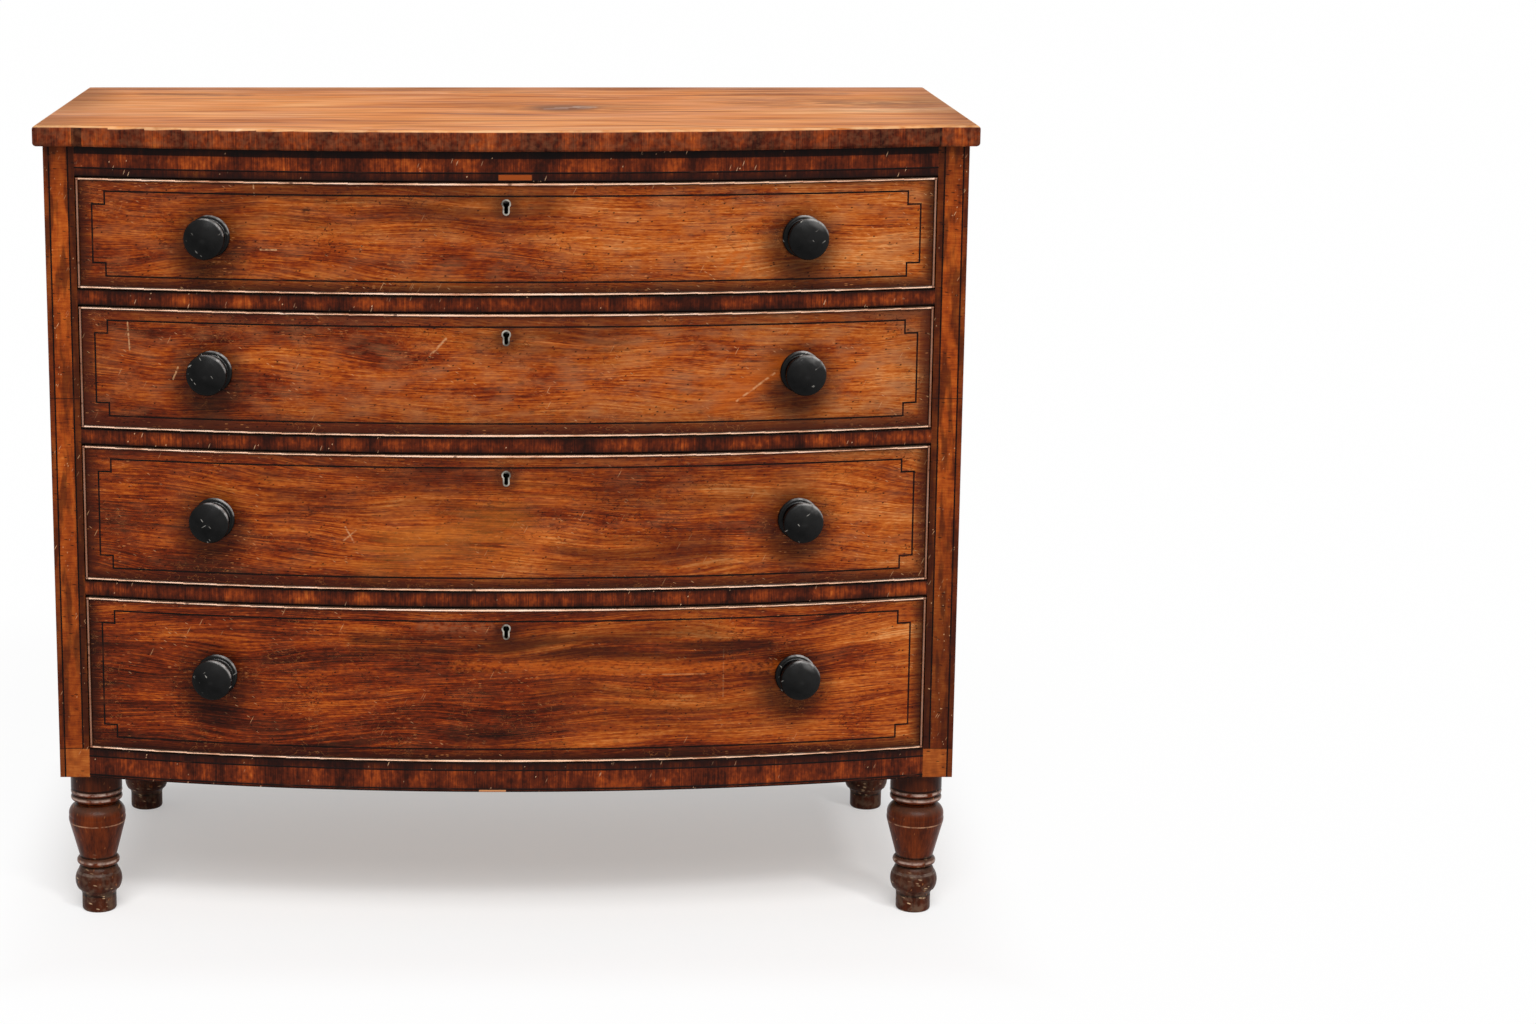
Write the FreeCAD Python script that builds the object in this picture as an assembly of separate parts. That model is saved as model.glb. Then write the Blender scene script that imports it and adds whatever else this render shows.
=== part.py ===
import FreeCAD, Part
import math
import os

# A bow front chest of four graduated long drawers on turned feet.
# Millimetres, +Z up from the floor, front towards -Y, +X to the right.
# The origin is on the floor, below the middle of the top board.

# Top board
TOP_WIDTH = 1070.0
TOP_END_DEPTH = 490.0
TOP_THICKNESS = 24.0
TOP_EDGE_ROUND = 4.5
TOP_SIDE_OVERHANG = 10.0
TOP_FRONT_OVERHANG = 11.0
TOP_BACK_OVERHANG = 8.0
BOW_RISE = 58.0

# Case, from the floor upwards
FOOT_HEIGHT = 174.5
BOTTOM_RAIL_HEIGHT = 35.0
OPENING_4_HEIGHT = 185.5
OPENING_3_HEIGHT = 162.0
OPENING_2_HEIGHT = 144.0
OPENING_1_HEIGHT = 130.0
RAIL_THICKNESS = 18.0
TOP_RAIL_HEIGHT = 34.0

STILE_WIDTH = 35.0
STILE_THICKNESS = 12.0
SIDE_THICKNESS = 20.0
BASE_BAND_HEIGHT = 26.0
BASE_BAND_THICKNESS = 8.0
HOUSING_DEPTH = 6.0
RAIL_END_DEPTH = 48.0
BOTTOM_RAIL_END_DEPTH = 22.0
BOTTOM_BOARD_THICKNESS = 16.0
DUST_BOARD_THICKNESS = 8.0
DUST_BOARD_TONGUE = 6.0
RUNNER_WIDTH = 46.0
KICKER_HEIGHT = 20.0
GUIDE_HEIGHT = 22.0
BACK_BOARD_THICKNESS = 10.0
BACK_BOARD_REBATE = 10.0
BACK_BOARD_COUNT = 4
BACK_BOARD_SEAM = 0.6
BACK_BOARD_SEAM_CHAMFER = 1.5

STOP_WIDTH = 34.0
STOP_DEPTH = 18.0
STOP_HEIGHT = 5.0
STOP_PLACE = 250.0
STOP_CLEARANCE = 0.3

# Drawers
FRONT_GAP = 1.5
RUNNING_CLEARANCE = 0.3
FRONT_THICKNESS = 22.0
DRAWER_SIDE_THICKNESS = 10.0
DRAWER_SIDE_INSET = 0.5
DRAWER_SIDE_DROP = 2.0
DRAWER_BACK_THICKNESS = 10.0
DRAWER_BACK_DROP = 6.0
DRAWER_BACK_SPACE = 12.0
DRAWER_BOTTOM_THICKNESS = 7.0
DRAWER_BOTTOM_RAISE = 9.0
FRONT_GROOVE_DEPTH = 6.0
SIDE_GROOVE_DEPTH = 4.0
LAP_TAIL_LENGTH = 11.0
TAIL_PITCH = 36.0
TAIL_ROOT_WIDTH = 20.0
TAIL_SLOPE = 1.0 / 6.0

BEAD_WIDTH = 3.0
BEAD_DEPTH = 6.0
BEAD_PROUD = 2.5
BEAD_NOSE_SHARE = 0.43

STRING_WIDTH = 2.0
STRING_DEPTH = 1.2
STRING_SIDE_INSET = 17.0
STRING_EDGE_INSET = 14.0
STRING_STEP = 15.0

# Knobs
KNOB_PLACE = 335.0
BOTTOM_KNOB_LIFT = 6.0
KNOB_SPIGOT_RADIUS = 7.0
KNOB_SPIGOT_LENGTH = 17.0
KNOB_SPIGOT_CLEARANCE = 0.15
KNOB_FLANGE_RADIUS = 23.5
KNOB_FLANGE_THICKNESS = 5.0
KNOB_FLANGE_ROUND = 1.4
KNOB_CUSHION_RADIUS = 19.5
KNOB_CUSHION_LENGTH = 9.0
KNOB_CUSHION_SWELL = 2.5
KNOB_NECK_RADIUS = 11.0
KNOB_FLARE_LENGTH = 8.0
KNOB_FLARE_HOLLOW = 2.5
KNOB_HEAD_RADIUS = 23.5
KNOB_HEAD_EDGE = 7.0
KNOB_HEAD_ROUND = 2.4
KNOB_HEAD_SWELL = 0.85
KNOB_FACE_DOME = 5.0

# Locks
KEYHOLE_DROP = 23.5
KEYHOLE_RADIUS = 3.6
KEYHOLE_SLOT = 4.4
KEYHOLE_REACH = 9.2
KEYHOLE_LOCK_DEPTH = 8.0
ESCUTCHEON_RIM = 1.7
ESCUTCHEON_DEPTH = 3.0
ESCUTCHEON_PROUD = 0.4
LOCK_WIDTH = 64.0
LOCK_HEIGHT = 50.0
LOCK_DEPTH = 11.0
BOLT_WIDTH = 22.0
BOLT_THICKNESS = 5.0
BOLT_LENGTH = 24.0
BOLT_BACK_WALL = 3.0
BOLT_CLEARANCE = 0.3
BOLT_MORTISE_CLEARANCE = 1.5
BOLT_MORTISE_DEPTH = 11.0
LOCK_PLATE_MARGIN = 6.0
LOCK_PLATE_THICKNESS = 2.0

# Turned feet, section by section from the floor upwards
FOOT_INSET = 4.0
BACK_FOOT_SIDE_INSET = 17.0
FOOT_PAD_RADIUS = 18.5
FOOT_PAD_ROUND = 3.0
FOOT_PAD_SWELL = 0.5
FOOT_TOE_RADIUS = 20.4
FOOT_TOE_HEIGHT = 20.0
FOOT_BULB_RADIUS = 25.0
FOOT_BULB_HEIGHT = 28.0
FOOT_BULB_SWELL = 2.8
FOOT_BULB_FLARE = 7.0
FOOT_BULB_HOLLOW = 1.0
FOOT_BULB_STEP = 1.0
FOOT_WAIST_RADIUS = 20.0
FOOT_WAIST_HEIGHT = 8.0
FOOT_WAIST_SWELL = 1.0
FOOT_RING_STEP = 1.0
FOOT_RING_SEAT_RADIUS = 21.5
FOOT_RING_HEIGHT = 9.0
FOOT_RING_SWELL = 3.9
FOOT_SHOULDER_RADIUS = 33.3
FOOT_SHOULDER_HEIGHT = 22.0
FOOT_SHOULDER_SWELL = 3.6
FOOT_ARRIS_HEIGHT = 7.3
FOOT_ARRIS_SWELL = 0.5
FOOT_NECK_RADIUS = 23.5
FOOT_COVE_HEIGHT = 4.5
FOOT_COVE_HOLLOW = 1.0
FOOT_BEAD_RADIUS = 28.0
FOOT_BEAD_HEIGHT = 7.5
FOOT_BEAD_SWELL = 2.6
FOOT_COLLAR_RADIUS = 30.4
FOOT_COLLAR_HEIGHT = 22.5
FOOT_SPIGOT_RADIUS = 11.0
FOOT_SPIGOT_LENGTH = 17.0
FOOT_SPIGOT_CLEARANCE = 0.15
FOOT_BLOCK_MARGIN = 34.0

# Levels
OPENING_HEIGHTS = [OPENING_1_HEIGHT, OPENING_2_HEIGHT, OPENING_3_HEIGHT, OPENING_4_HEIGHT]
LOWEST_OPENING = FOOT_HEIGHT + BOTTOM_RAIL_HEIGHT
TOP_RAIL_LEVEL = LOWEST_OPENING + sum(OPENING_HEIGHTS) + 3 * RAIL_THICKNESS
CASE_TOP = TOP_RAIL_LEVEL + TOP_RAIL_HEIGHT
BOTTOM_BOARD_LEVEL = LOWEST_OPENING - BOTTOM_BOARD_THICKNESS

# Half widths and depths
TOP_HALF = TOP_WIDTH / 2
CASE_HALF = TOP_HALF - TOP_SIDE_OVERHANG
OPENING_HALF = CASE_HALF - STILE_WIDTH
SIDE_INNER = CASE_HALF - SIDE_THICKNESS
RUNNER_INNER = SIDE_INNER - RUNNER_WIDTH
FRONT_HALF = OPENING_HALF - FRONT_GAP
DRAWER_HALF = FRONT_HALF - DRAWER_SIDE_INSET
DRAWER_INNER = DRAWER_HALF - DRAWER_SIDE_THICKNESS

TOP_BACK = (TOP_END_DEPTH + BOW_RISE) / 2
TOP_CORNER = TOP_BACK - TOP_END_DEPTH
CASE_FRONT = TOP_CORNER + TOP_FRONT_OVERHANG
CASE_BACK = TOP_BACK - TOP_BACK_OVERHANG
STILE_BACK = CASE_FRONT + STILE_THICKNESS
RAIL_BACK = CASE_FRONT + RAIL_END_DEPTH
BOTTOM_RAIL_BACK = CASE_FRONT + BOTTOM_RAIL_END_DEPTH
CASE_INNER_BACK = CASE_BACK - BACK_BOARD_THICKNESS
DRAWER_BACK = CASE_INNER_BACK - DRAWER_BACK_SPACE

# The bow is one circle over the drawer openings
BOW_RADIUS = (OPENING_HALF**2 + BOW_RISE**2) / (2 * BOW_RISE)
BOW_CENTRE = CASE_FRONT - BOW_RISE + BOW_RADIUS
BOW_CROWN = BOW_CENTRE - BOW_RADIUS

FRONT_FOOT_X = CASE_HALF - FOOT_INSET - FOOT_SHOULDER_RADIUS
BACK_FOOT_X = CASE_HALF - BACK_FOOT_SIDE_INSET - FOOT_SHOULDER_RADIUS
FOOT_FRONT = CASE_FRONT + FOOT_INSET + FOOT_SHOULDER_RADIUS
FOOT_BACK = CASE_BACK - FOOT_INSET - FOOT_SHOULDER_RADIUS

UP = FreeCAD.Vector(0, 0, 1)
SAME_PLACE = 0.01


def point(x, y, z=0.0):
    return FreeCAD.Vector(x, y, z)


def box(x_range, y_range, z_range):
    """A block between two values on each axis."""
    corner = point(x_range[0], y_range[0], z_range[0])
    sizes = [high - low for low, high in (x_range, y_range, z_range)]
    return Part.makeBox(*sizes, corner)


def mirrored(shape):
    """The same piece on the other side of the chest."""
    return shape.mirror(point(0, 0), point(1, 0))


def both_sides(shape):
    return [shape, mirrored(shape)]


def one_solid(shape):
    """The single solid that a cut or a fuse leaves, with its split faces joined again."""
    (solid,) = shape.removeSplitter().Solids
    return solid


def polygon(points):
    return Part.Face(Part.makePolygon(points + points[:1]))


def bow_at(x, offset=0.0):
    """Where the bow lies in Y at a place across the chest."""
    return BOW_CENTRE - math.sqrt(BOW_RADIUS**2 - x**2) + offset


def bow_edge(half_width, offset):
    left = point(-half_width, bow_at(half_width, offset))
    middle = point(0, BOW_CROWN + offset)
    right = point(half_width, bow_at(half_width, offset))
    return Part.Arc(left, middle, right).toShape()


def closed_outline(edges):
    return Part.Face(Part.Wire(Part.__sortEdges__(edges)))


def bowed_board(half_width, offset, back, z_range):
    """A board with a bowed front edge and a straight back edge."""
    edge = bow_edge(half_width, offset)
    left, right = edge.Vertexes[0].Point, edge.Vertexes[-1].Point
    path = [right, point(half_width, back), point(-half_width, back), left]
    straight = [Part.makeLine(a, b) for a, b in zip(path, path[1:])]
    outline = closed_outline([edge] + straight)
    outline.translate(UP * z_range[0])
    return outline.extrude(UP * (z_range[1] - z_range[0]))


def bowed_slab(half_width, offsets, z_range):
    """A curved board whose front and back both follow the bow."""
    front = bow_edge(half_width, offsets[0])
    back = bow_edge(half_width, offsets[1])
    ends = [Part.makeLine(front.Vertexes[i].Point, back.Vertexes[i].Point) for i in (0, -1)]
    outline = closed_outline([front, back] + ends)
    outline.translate(UP * z_range[0])
    return outline.extrude(UP * (z_range[1] - z_range[0]))


def turned(outline):
    """A turned piece about Z. Each row is a radius, a height and how far the stretch
    that ends there swells out (or, below zero, hollows in) from a straight line."""
    start = point(0, 0, outline[0][1])
    here = start
    edges = []
    for radius, height, swell in outline:
        there = point(radius, 0, height)
        run = there - here
        outward = point(run.z, 0, -run.x).normalize()
        middle = (here + there) * 0.5 + outward * swell
        edges.append(Part.Arc(here, middle, there).toShape() if swell else Part.makeLine(here, there))
        here = there
    edges.append(Part.makeLine(here, start))
    face = Part.Face(Part.Wire(edges))
    return Part.Solid(face.revolve(point(0, 0), UP, 360))


def top_board():
    """Flat front corners over the stiles, then the bow, with softened edges all round."""
    arc_rise = TOP_CORNER - BOW_RISE
    kink_left, kink_right = point(-OPENING_HALF, TOP_CORNER), point(OPENING_HALF, TOP_CORNER)
    bow = Part.Arc(kink_left, point(0, arc_rise), kink_right).toShape()
    path = [
        kink_right,
        point(TOP_HALF, TOP_CORNER),
        point(TOP_HALF, TOP_BACK),
        point(-TOP_HALF, TOP_BACK),
        point(-TOP_HALF, TOP_CORNER),
        kink_left,
    ]
    straight = [Part.makeLine(a, b) for a, b in zip(path, path[1:])]
    outline = closed_outline([bow] + straight)
    outline.translate(UP * CASE_TOP)
    board = outline.extrude(UP * TOP_THICKNESS)
    level_edges = [e for e in board.Edges if e.BoundBox.ZLength < SAME_PLACE]
    shown = [e for e in level_edges if e.BoundBox.YMin < TOP_BACK - SAME_PLACE]
    return board.makeFillet(TOP_EDGE_ROUND, shown)


def rail(z_range):
    """A bowed rail with ears that pass behind the stiles into the sides."""
    board = bowed_board(OPENING_HALF, 0.0, RAIL_BACK, z_range)
    reach = SIDE_INNER + HOUSING_DEPTH
    return one_solid(board.fuse(box((-reach, reach), (STILE_BACK, RAIL_BACK), z_range)))


def bolt_y_range(clearance):
    back = BOW_CROWN + FRONT_THICKNESS - BOLT_BACK_WALL
    return (back - BOLT_THICKNESS - clearance, back + clearance)


def bolt_mortise(level):
    """The slot in a rail's underside that the lock bolt of the drawer below enters."""
    half = BOLT_WIDTH / 2 + BOLT_MORTISE_CLEARANCE
    return box((-half, half), bolt_y_range(BOLT_MORTISE_CLEARANCE), (level, level + BOLT_MORTISE_DEPTH))


def opening_levels():
    """The lower level of each drawer opening, from the top drawer down."""
    levels = []
    level = TOP_RAIL_LEVEL
    for height in OPENING_HEIGHTS:
        level -= height
        levels.append(level)
        level -= RAIL_THICKNESS
    return levels


def dust_board(level):
    """A thin board between the runners, tongued into them and into the rail in front."""
    middle = level - RAIL_THICKNESS / 2
    reach = RUNNER_INNER + DUST_BOARD_TONGUE
    return box(
        (-reach, reach),
        (RAIL_BACK - DUST_BOARD_TONGUE, CASE_INNER_BACK),
        (middle - DUST_BOARD_THICKNESS / 2, middle + DUST_BOARD_THICKNESS / 2),
    )


def runner(level, height):
    """A strip that carries or holds down a drawer side, housed in the side panel."""
    reach = SIDE_INNER + HOUSING_DEPTH
    return box((RUNNER_INNER, reach), (RAIL_BACK, CASE_INNER_BACK), (level, level + height))


def guide(level):
    """The strip beside a drawer that fills the space behind the stile."""
    return box((OPENING_HALF, SIDE_INNER), (STILE_BACK, CASE_INNER_BACK), (level, level + GUIDE_HEIGHT))


def drawer_stop(level):
    """A block on the rail, square to the bow, that the closed drawer front meets."""
    angle = math.degrees(math.asin(STOP_PLACE / BOW_RADIUS))
    inner_face = bow_at(STOP_PLACE, FRONT_THICKNESS)
    lip = STOP_CLEARANCE + STOP_WIDTH**2 / (8 * BOW_RADIUS)
    block = box((-STOP_WIDTH / 2, STOP_WIDTH / 2), (lip, lip + STOP_DEPTH), (0, STOP_HEIGHT))
    block.rotate(point(0, 0), UP, angle)
    block.translate(point(STOP_PLACE, inner_face, level))
    return block


def back_boards():
    """Plain horizontal boards with chamfered seams, in rebates of the side panels."""
    half = SIDE_INNER + BACK_BOARD_REBATE
    height = (CASE_TOP - BOTTOM_BOARD_LEVEL - BACK_BOARD_SEAM * (BACK_BOARD_COUNT - 1)) / BACK_BOARD_COUNT
    boards = []
    for i in range(BACK_BOARD_COUNT):
        low = BOTTOM_BOARD_LEVEL + i * (height + BACK_BOARD_SEAM)
        board = box((-half, half), (CASE_INNER_BACK, CASE_BACK), (low, low + height))
        level_edges = [e for e in board.Edges if e.BoundBox.XLength > half]
        outer = [e for e in level_edges if e.BoundBox.YMin > CASE_BACK - SAME_PLACE]
        boards.append(board.makeChamfer(BACK_BOARD_SEAM_CHAMFER, outer))
    return boards


def foot():
    """A turned foot: toe, bulb, ring, taper, shoulder, two beads, collar and spigot."""
    waist = FOOT_TOE_HEIGHT + FOOT_BULB_HEIGHT + FOOT_WAIST_HEIGHT
    collar = FOOT_HEIGHT - FOOT_COLLAR_HEIGHT
    neck = collar - 2 * FOOT_BEAD_HEIGHT - FOOT_COVE_HEIGHT
    arris = neck - FOOT_SHOULDER_HEIGHT
    bulb_top = FOOT_TOE_HEIGHT + FOOT_BULB_HEIGHT
    ring = waist + FOOT_RING_STEP
    bead = neck + FOOT_COVE_HEIGHT
    outline = [
        (FOOT_PAD_RADIUS, 0, 0),
        (FOOT_TOE_RADIUS, FOOT_PAD_ROUND, FOOT_PAD_SWELL),
        (FOOT_TOE_RADIUS, FOOT_TOE_HEIGHT, 0),
        (FOOT_BULB_RADIUS, FOOT_TOE_HEIGHT + FOOT_BULB_FLARE, -FOOT_BULB_HOLLOW),
        (FOOT_BULB_RADIUS, bulb_top, FOOT_BULB_SWELL),
        (FOOT_BULB_RADIUS - FOOT_BULB_STEP, bulb_top, 0),
        (FOOT_WAIST_RADIUS, waist, FOOT_WAIST_SWELL),
        (FOOT_RING_SEAT_RADIUS, ring, 0),
        (FOOT_RING_SEAT_RADIUS, ring + FOOT_RING_HEIGHT, FOOT_RING_SWELL),
        (FOOT_SHOULDER_RADIUS, arris, 0),
        (FOOT_SHOULDER_RADIUS, arris + FOOT_ARRIS_HEIGHT, FOOT_ARRIS_SWELL),
        (FOOT_NECK_RADIUS, neck, FOOT_SHOULDER_SWELL),
        (FOOT_BEAD_RADIUS, bead, -FOOT_COVE_HOLLOW),
        (FOOT_BEAD_RADIUS, bead + FOOT_BEAD_HEIGHT, FOOT_BEAD_SWELL),
        (FOOT_BEAD_RADIUS, collar, FOOT_BEAD_SWELL),
        (FOOT_COLLAR_RADIUS, collar, 0),
        (FOOT_COLLAR_RADIUS, FOOT_HEIGHT, 0),
        (FOOT_SPIGOT_RADIUS, FOOT_HEIGHT, 0),
        (FOOT_SPIGOT_RADIUS, FOOT_HEIGHT + FOOT_SPIGOT_LENGTH, 0),
        (0, FOOT_HEIGHT + FOOT_SPIGOT_LENGTH, 0),
    ]
    return turned(outline)


def foot_block(x, y, front):
    """A block under the bottom board, bored for the spigot of one foot."""
    y_low = BOTTOM_RAIL_BACK if front else y - FOOT_BLOCK_MARGIN
    y_high = y + FOOT_BLOCK_MARGIN if front else CASE_INNER_BACK
    block = box((x - FOOT_BLOCK_MARGIN, SIDE_INNER), (y_low, y_high), (FOOT_HEIGHT, BOTTOM_BOARD_LEVEL))
    radius = FOOT_SPIGOT_RADIUS + FOOT_SPIGOT_CLEARANCE
    return block.cut(Part.makeCylinder(radius, BOTTOM_RAIL_HEIGHT, point(x, y, FOOT_HEIGHT)))


def side_panel(housed):
    """The right side panel, with housings for rails and runners and rebates for the
    base band and the back boards."""
    panel = box((SIDE_INNER, CASE_HALF), (STILE_BACK, CASE_BACK), (FOOT_HEIGHT, CASE_TOP))
    return one_solid(panel.cut(housed))


def case_nodes():
    """The fixed pieces of the case."""
    levels = opening_levels()
    top_rail = rail((TOP_RAIL_LEVEL, CASE_TOP)).cut(bolt_mortise(TOP_RAIL_LEVEL))
    dust_boards = [dust_board(level) for level in levels[:-1]]
    rails = []
    runners = []
    for level, dust in zip(levels, dust_boards):
        under = level - RAIL_THICKNESS
        rails.append(one_solid(rail((under, level)).cut([dust, bolt_mortise(under)])))
        runners += both_sides(one_solid(runner(under, RAIL_THICKNESS).cut(dust)))
    kicker = runner(TOP_RAIL_LEVEL, KICKER_HEIGHT)
    bottom_rail = bowed_board(OPENING_HALF, 0.0, BOTTOM_RAIL_BACK, (FOOT_HEIGHT, LOWEST_OPENING))
    reach = SIDE_INNER + HOUSING_DEPTH
    bottom_board = box(
        (-reach, reach), (BOTTOM_RAIL_BACK, CASE_INNER_BACK), (BOTTOM_BOARD_LEVEL, LOWEST_OPENING)
    )
    band = box(
        (CASE_HALF - BASE_BAND_THICKNESS, CASE_HALF),
        (STILE_BACK, CASE_BACK),
        (FOOT_HEIGHT, FOOT_HEIGHT + BASE_BAND_HEIGHT),
    )
    backs = back_boards()
    rebate = box(
        (SIDE_INNER, SIDE_INNER + BACK_BOARD_REBATE),
        (CASE_INNER_BACK, CASE_BACK),
        (BOTTOM_BOARD_LEVEL, CASE_TOP),
    )
    side = side_panel([top_rail, kicker, bottom_board, band, rebate] + rails + runners)
    stile = box((OPENING_HALF, CASE_HALF), (CASE_FRONT, STILE_BACK), (FOOT_HEIGHT, CASE_TOP))
    guides = [piece for level in levels for piece in both_sides(guide(level))]
    stops = [piece for level in levels for piece in both_sides(drawer_stop(level))]
    blocks = [foot_block(FRONT_FOOT_X, FOOT_FRONT, True), foot_block(BACK_FOOT_X, FOOT_BACK, False)]
    nodes = {
        "top": top_board(),
        "side_right": side,
        "side_left": mirrored(side),
        "base_band_right": band,
        "base_band_left": mirrored(band),
        "stile_right": stile,
        "stile_left": mirrored(stile),
        "top_rail": one_solid(top_rail),
        "bottom_rail": bottom_rail,
        "bottom_board": bottom_board,
        "dust_boards": dust_boards,
        "runners": runners + both_sides(kicker),
        "guides": guides,
        "drawer_stops": stops,
        "back_boards": backs,
        "foot_blocks": [piece for block in blocks for piece in both_sides(block)],
    }
    for number, piece in enumerate(rails, 1):
        nodes[f"drawer_rail_{number}"] = piece
    for depth_name, x, y in (("front", FRONT_FOOT_X, FOOT_FRONT), ("back", BACK_FOOT_X, FOOT_BACK)):
        piece = foot()
        piece.translate(point(x, y))
        nodes[f"foot_{depth_name}_right"] = piece
        nodes[f"foot_{depth_name}_left"] = mirrored(piece)
    return nodes


def tails(x_range, root, tip, z_range):
    """Dovetails on a drawer side, wider at their tips than at their roots."""
    count = max(2, round((z_range[1] - z_range[0]) / TAIL_PITCH))
    pitch = (z_range[1] - z_range[0]) / count
    root_half = TAIL_ROOT_WIDTH / 2
    tip_half = root_half + abs(tip - root) * TAIL_SLOPE
    shapes = []
    for i in range(count):
        middle = z_range[0] + (i + 0.5) * pitch
        corners = [
            point(x_range[0], root, middle - root_half),
            point(x_range[0], root, middle + root_half),
            point(x_range[0], tip, middle + tip_half),
            point(x_range[0], tip, middle - tip_half),
        ]
        shapes.append(polygon(corners).extrude(point(x_range[1] - x_range[0], 0)))
    return shapes


def drawer_side(z_range, floor_top, bottom):
    """The right drawer side: lapped tails in front, through tails behind, a groove for the bottom."""
    x_range = (DRAWER_INNER, DRAWER_HALF)
    front = bow_at(DRAWER_INNER, FRONT_THICKNESS)
    back = DRAWER_BACK - DRAWER_BACK_THICKNESS
    board = box(x_range, (front, back), z_range)
    heel = box(x_range, (back, DRAWER_BACK), (z_range[0], floor_top))
    front_tails = tails(x_range, front, front - LAP_TAIL_LENGTH, z_range)
    back_tails = tails(x_range, back, DRAWER_BACK, (floor_top, z_range[1] - DRAWER_BACK_DROP))
    return one_solid(board.fuse([heel] + front_tails + back_tails).cut(bottom))


def stepped_panel(half_width, z_range, step):
    """A rectangle in the plane of the drawer front with a square step out of each corner."""
    low, high = z_range
    quarter = [(half_width, low + step), (half_width - step, low + step), (half_width - step, low)]
    lower = quarter + [(-x, z) for x, z in reversed(quarter)]
    upper = [(x, low + high - z) for x, z in reversed(lower)]
    ahead = BOW_CROWN - FRONT_THICKNESS
    face = polygon([point(x, ahead, z) for x, z in lower + upper])
    return face.extrude(point(0, BOW_RISE + 2 * FRONT_THICKNESS))


def stringing(z_range):
    """The black line let into a drawer front, following the bow and stepping in at its corners."""
    low, high = z_range[0] + STRING_EDGE_INSET, z_range[1] - STRING_EDGE_INSET
    half = FRONT_HALF - STRING_SIDE_INSET
    outer = stepped_panel(half, (low, high), STRING_STEP)
    inner = stepped_panel(half - STRING_WIDTH, (low + STRING_WIDTH, high - STRING_WIDTH), STRING_STEP)
    skin = bowed_slab(FRONT_HALF, (0.0, STRING_DEPTH), z_range)
    return one_solid(outer.cut(inner).common(skin))


def cockbeads(z_range):
    """Four round-nosed strips let into the edges of a drawer front."""
    offsets = (-BEAD_PROUD, BEAD_DEPTH)
    low, high = z_range
    upright = bowed_slab(FRONT_HALF, offsets, (low + BEAD_WIDTH, high - BEAD_WIDTH))
    cutter = box(
        (FRONT_HALF - BEAD_WIDTH, FRONT_HALF + BEAD_WIDTH), (BOW_CROWN - BEAD_PROUD, BOW_CENTRE), z_range
    )
    end = upright.common(cutter).Solids[0]
    level_strips = [
        bowed_slab(FRONT_HALF, offsets, (low, low + BEAD_WIDTH)),
        bowed_slab(FRONT_HALF, offsets, (high - BEAD_WIDTH, high)),
    ]
    beads = []
    for strip in level_strips + both_sides(end):
        nose = [
            e
            for e in strip.Edges
            if e.Length > 2 * BEAD_DEPTH
            and all(abs(v.Y - bow_at(v.X, -BEAD_PROUD)) < SAME_PLACE for v in e.Vertexes)
        ]
        beads.append(strip.makeFillet(BEAD_WIDTH * BEAD_NOSE_SHARE, nose))
    return beads


def keyhole(pin, rim, y_range):
    """A keyhole along Y: a round eye over a slot with a round end, widened by a rim."""
    depth = y_range[1] - y_range[0]
    along = point(0, 1)
    eye = Part.makeCylinder(KEYHOLE_RADIUS + rim, depth, point(0, y_range[0], pin), along)
    end = Part.makeCylinder(KEYHOLE_SLOT / 2 + rim, depth, point(0, y_range[0], pin - KEYHOLE_REACH), along)
    half = KEYHOLE_SLOT / 2 + rim
    slot = box((-half, half), y_range, (pin - KEYHOLE_REACH, pin))
    return one_solid(eye.fuse([slot, end]))


def cap_swell(radius, rise):
    """How far a round cap of this radius and rise swells out from the straight line up its side."""
    sphere = (radius**2 + rise**2) / (2 * rise)
    return sphere - math.sqrt(sphere**2 - (radius**2 + rise**2) / 4)


def knob():
    """A turned knob on its spigot: flange, cushion, neck and domed head, rising from the drawer face."""
    neck = KNOB_FLANGE_THICKNESS + KNOB_CUSHION_LENGTH
    head = neck + KNOB_FLARE_LENGTH
    rim = head + KNOB_HEAD_EDGE
    face_radius = KNOB_HEAD_RADIUS - KNOB_HEAD_ROUND
    outline = [
        (KNOB_SPIGOT_RADIUS, -KNOB_SPIGOT_LENGTH, 0),
        (KNOB_SPIGOT_RADIUS, 0, 0),
        (KNOB_FLANGE_RADIUS, 0, 0),
        (KNOB_FLANGE_RADIUS - KNOB_FLANGE_ROUND, KNOB_FLANGE_THICKNESS, KNOB_FLANGE_ROUND),
        (KNOB_CUSHION_RADIUS, KNOB_FLANGE_THICKNESS, 0),
        (KNOB_NECK_RADIUS, neck, KNOB_CUSHION_SWELL),
        (face_radius, head, -KNOB_FLARE_HOLLOW),
        (KNOB_HEAD_RADIUS, head + KNOB_HEAD_EDGE / 2, KNOB_HEAD_SWELL),
        (face_radius, rim, KNOB_HEAD_SWELL),
        (0, rim + KNOB_FACE_DOME, cap_swell(face_radius, KNOB_FACE_DOME)),
    ]
    return turned(outline)


def on_bow(shape, x, z):
    """Stands a piece that was made along Z square on the bowed drawer face."""
    outward = point(x, bow_at(x) - BOW_CENTRE)
    shape.Placement = FreeCAD.Placement(point(x, bow_at(x), z), FreeCAD.Rotation(UP, outward))
    return shape


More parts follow.
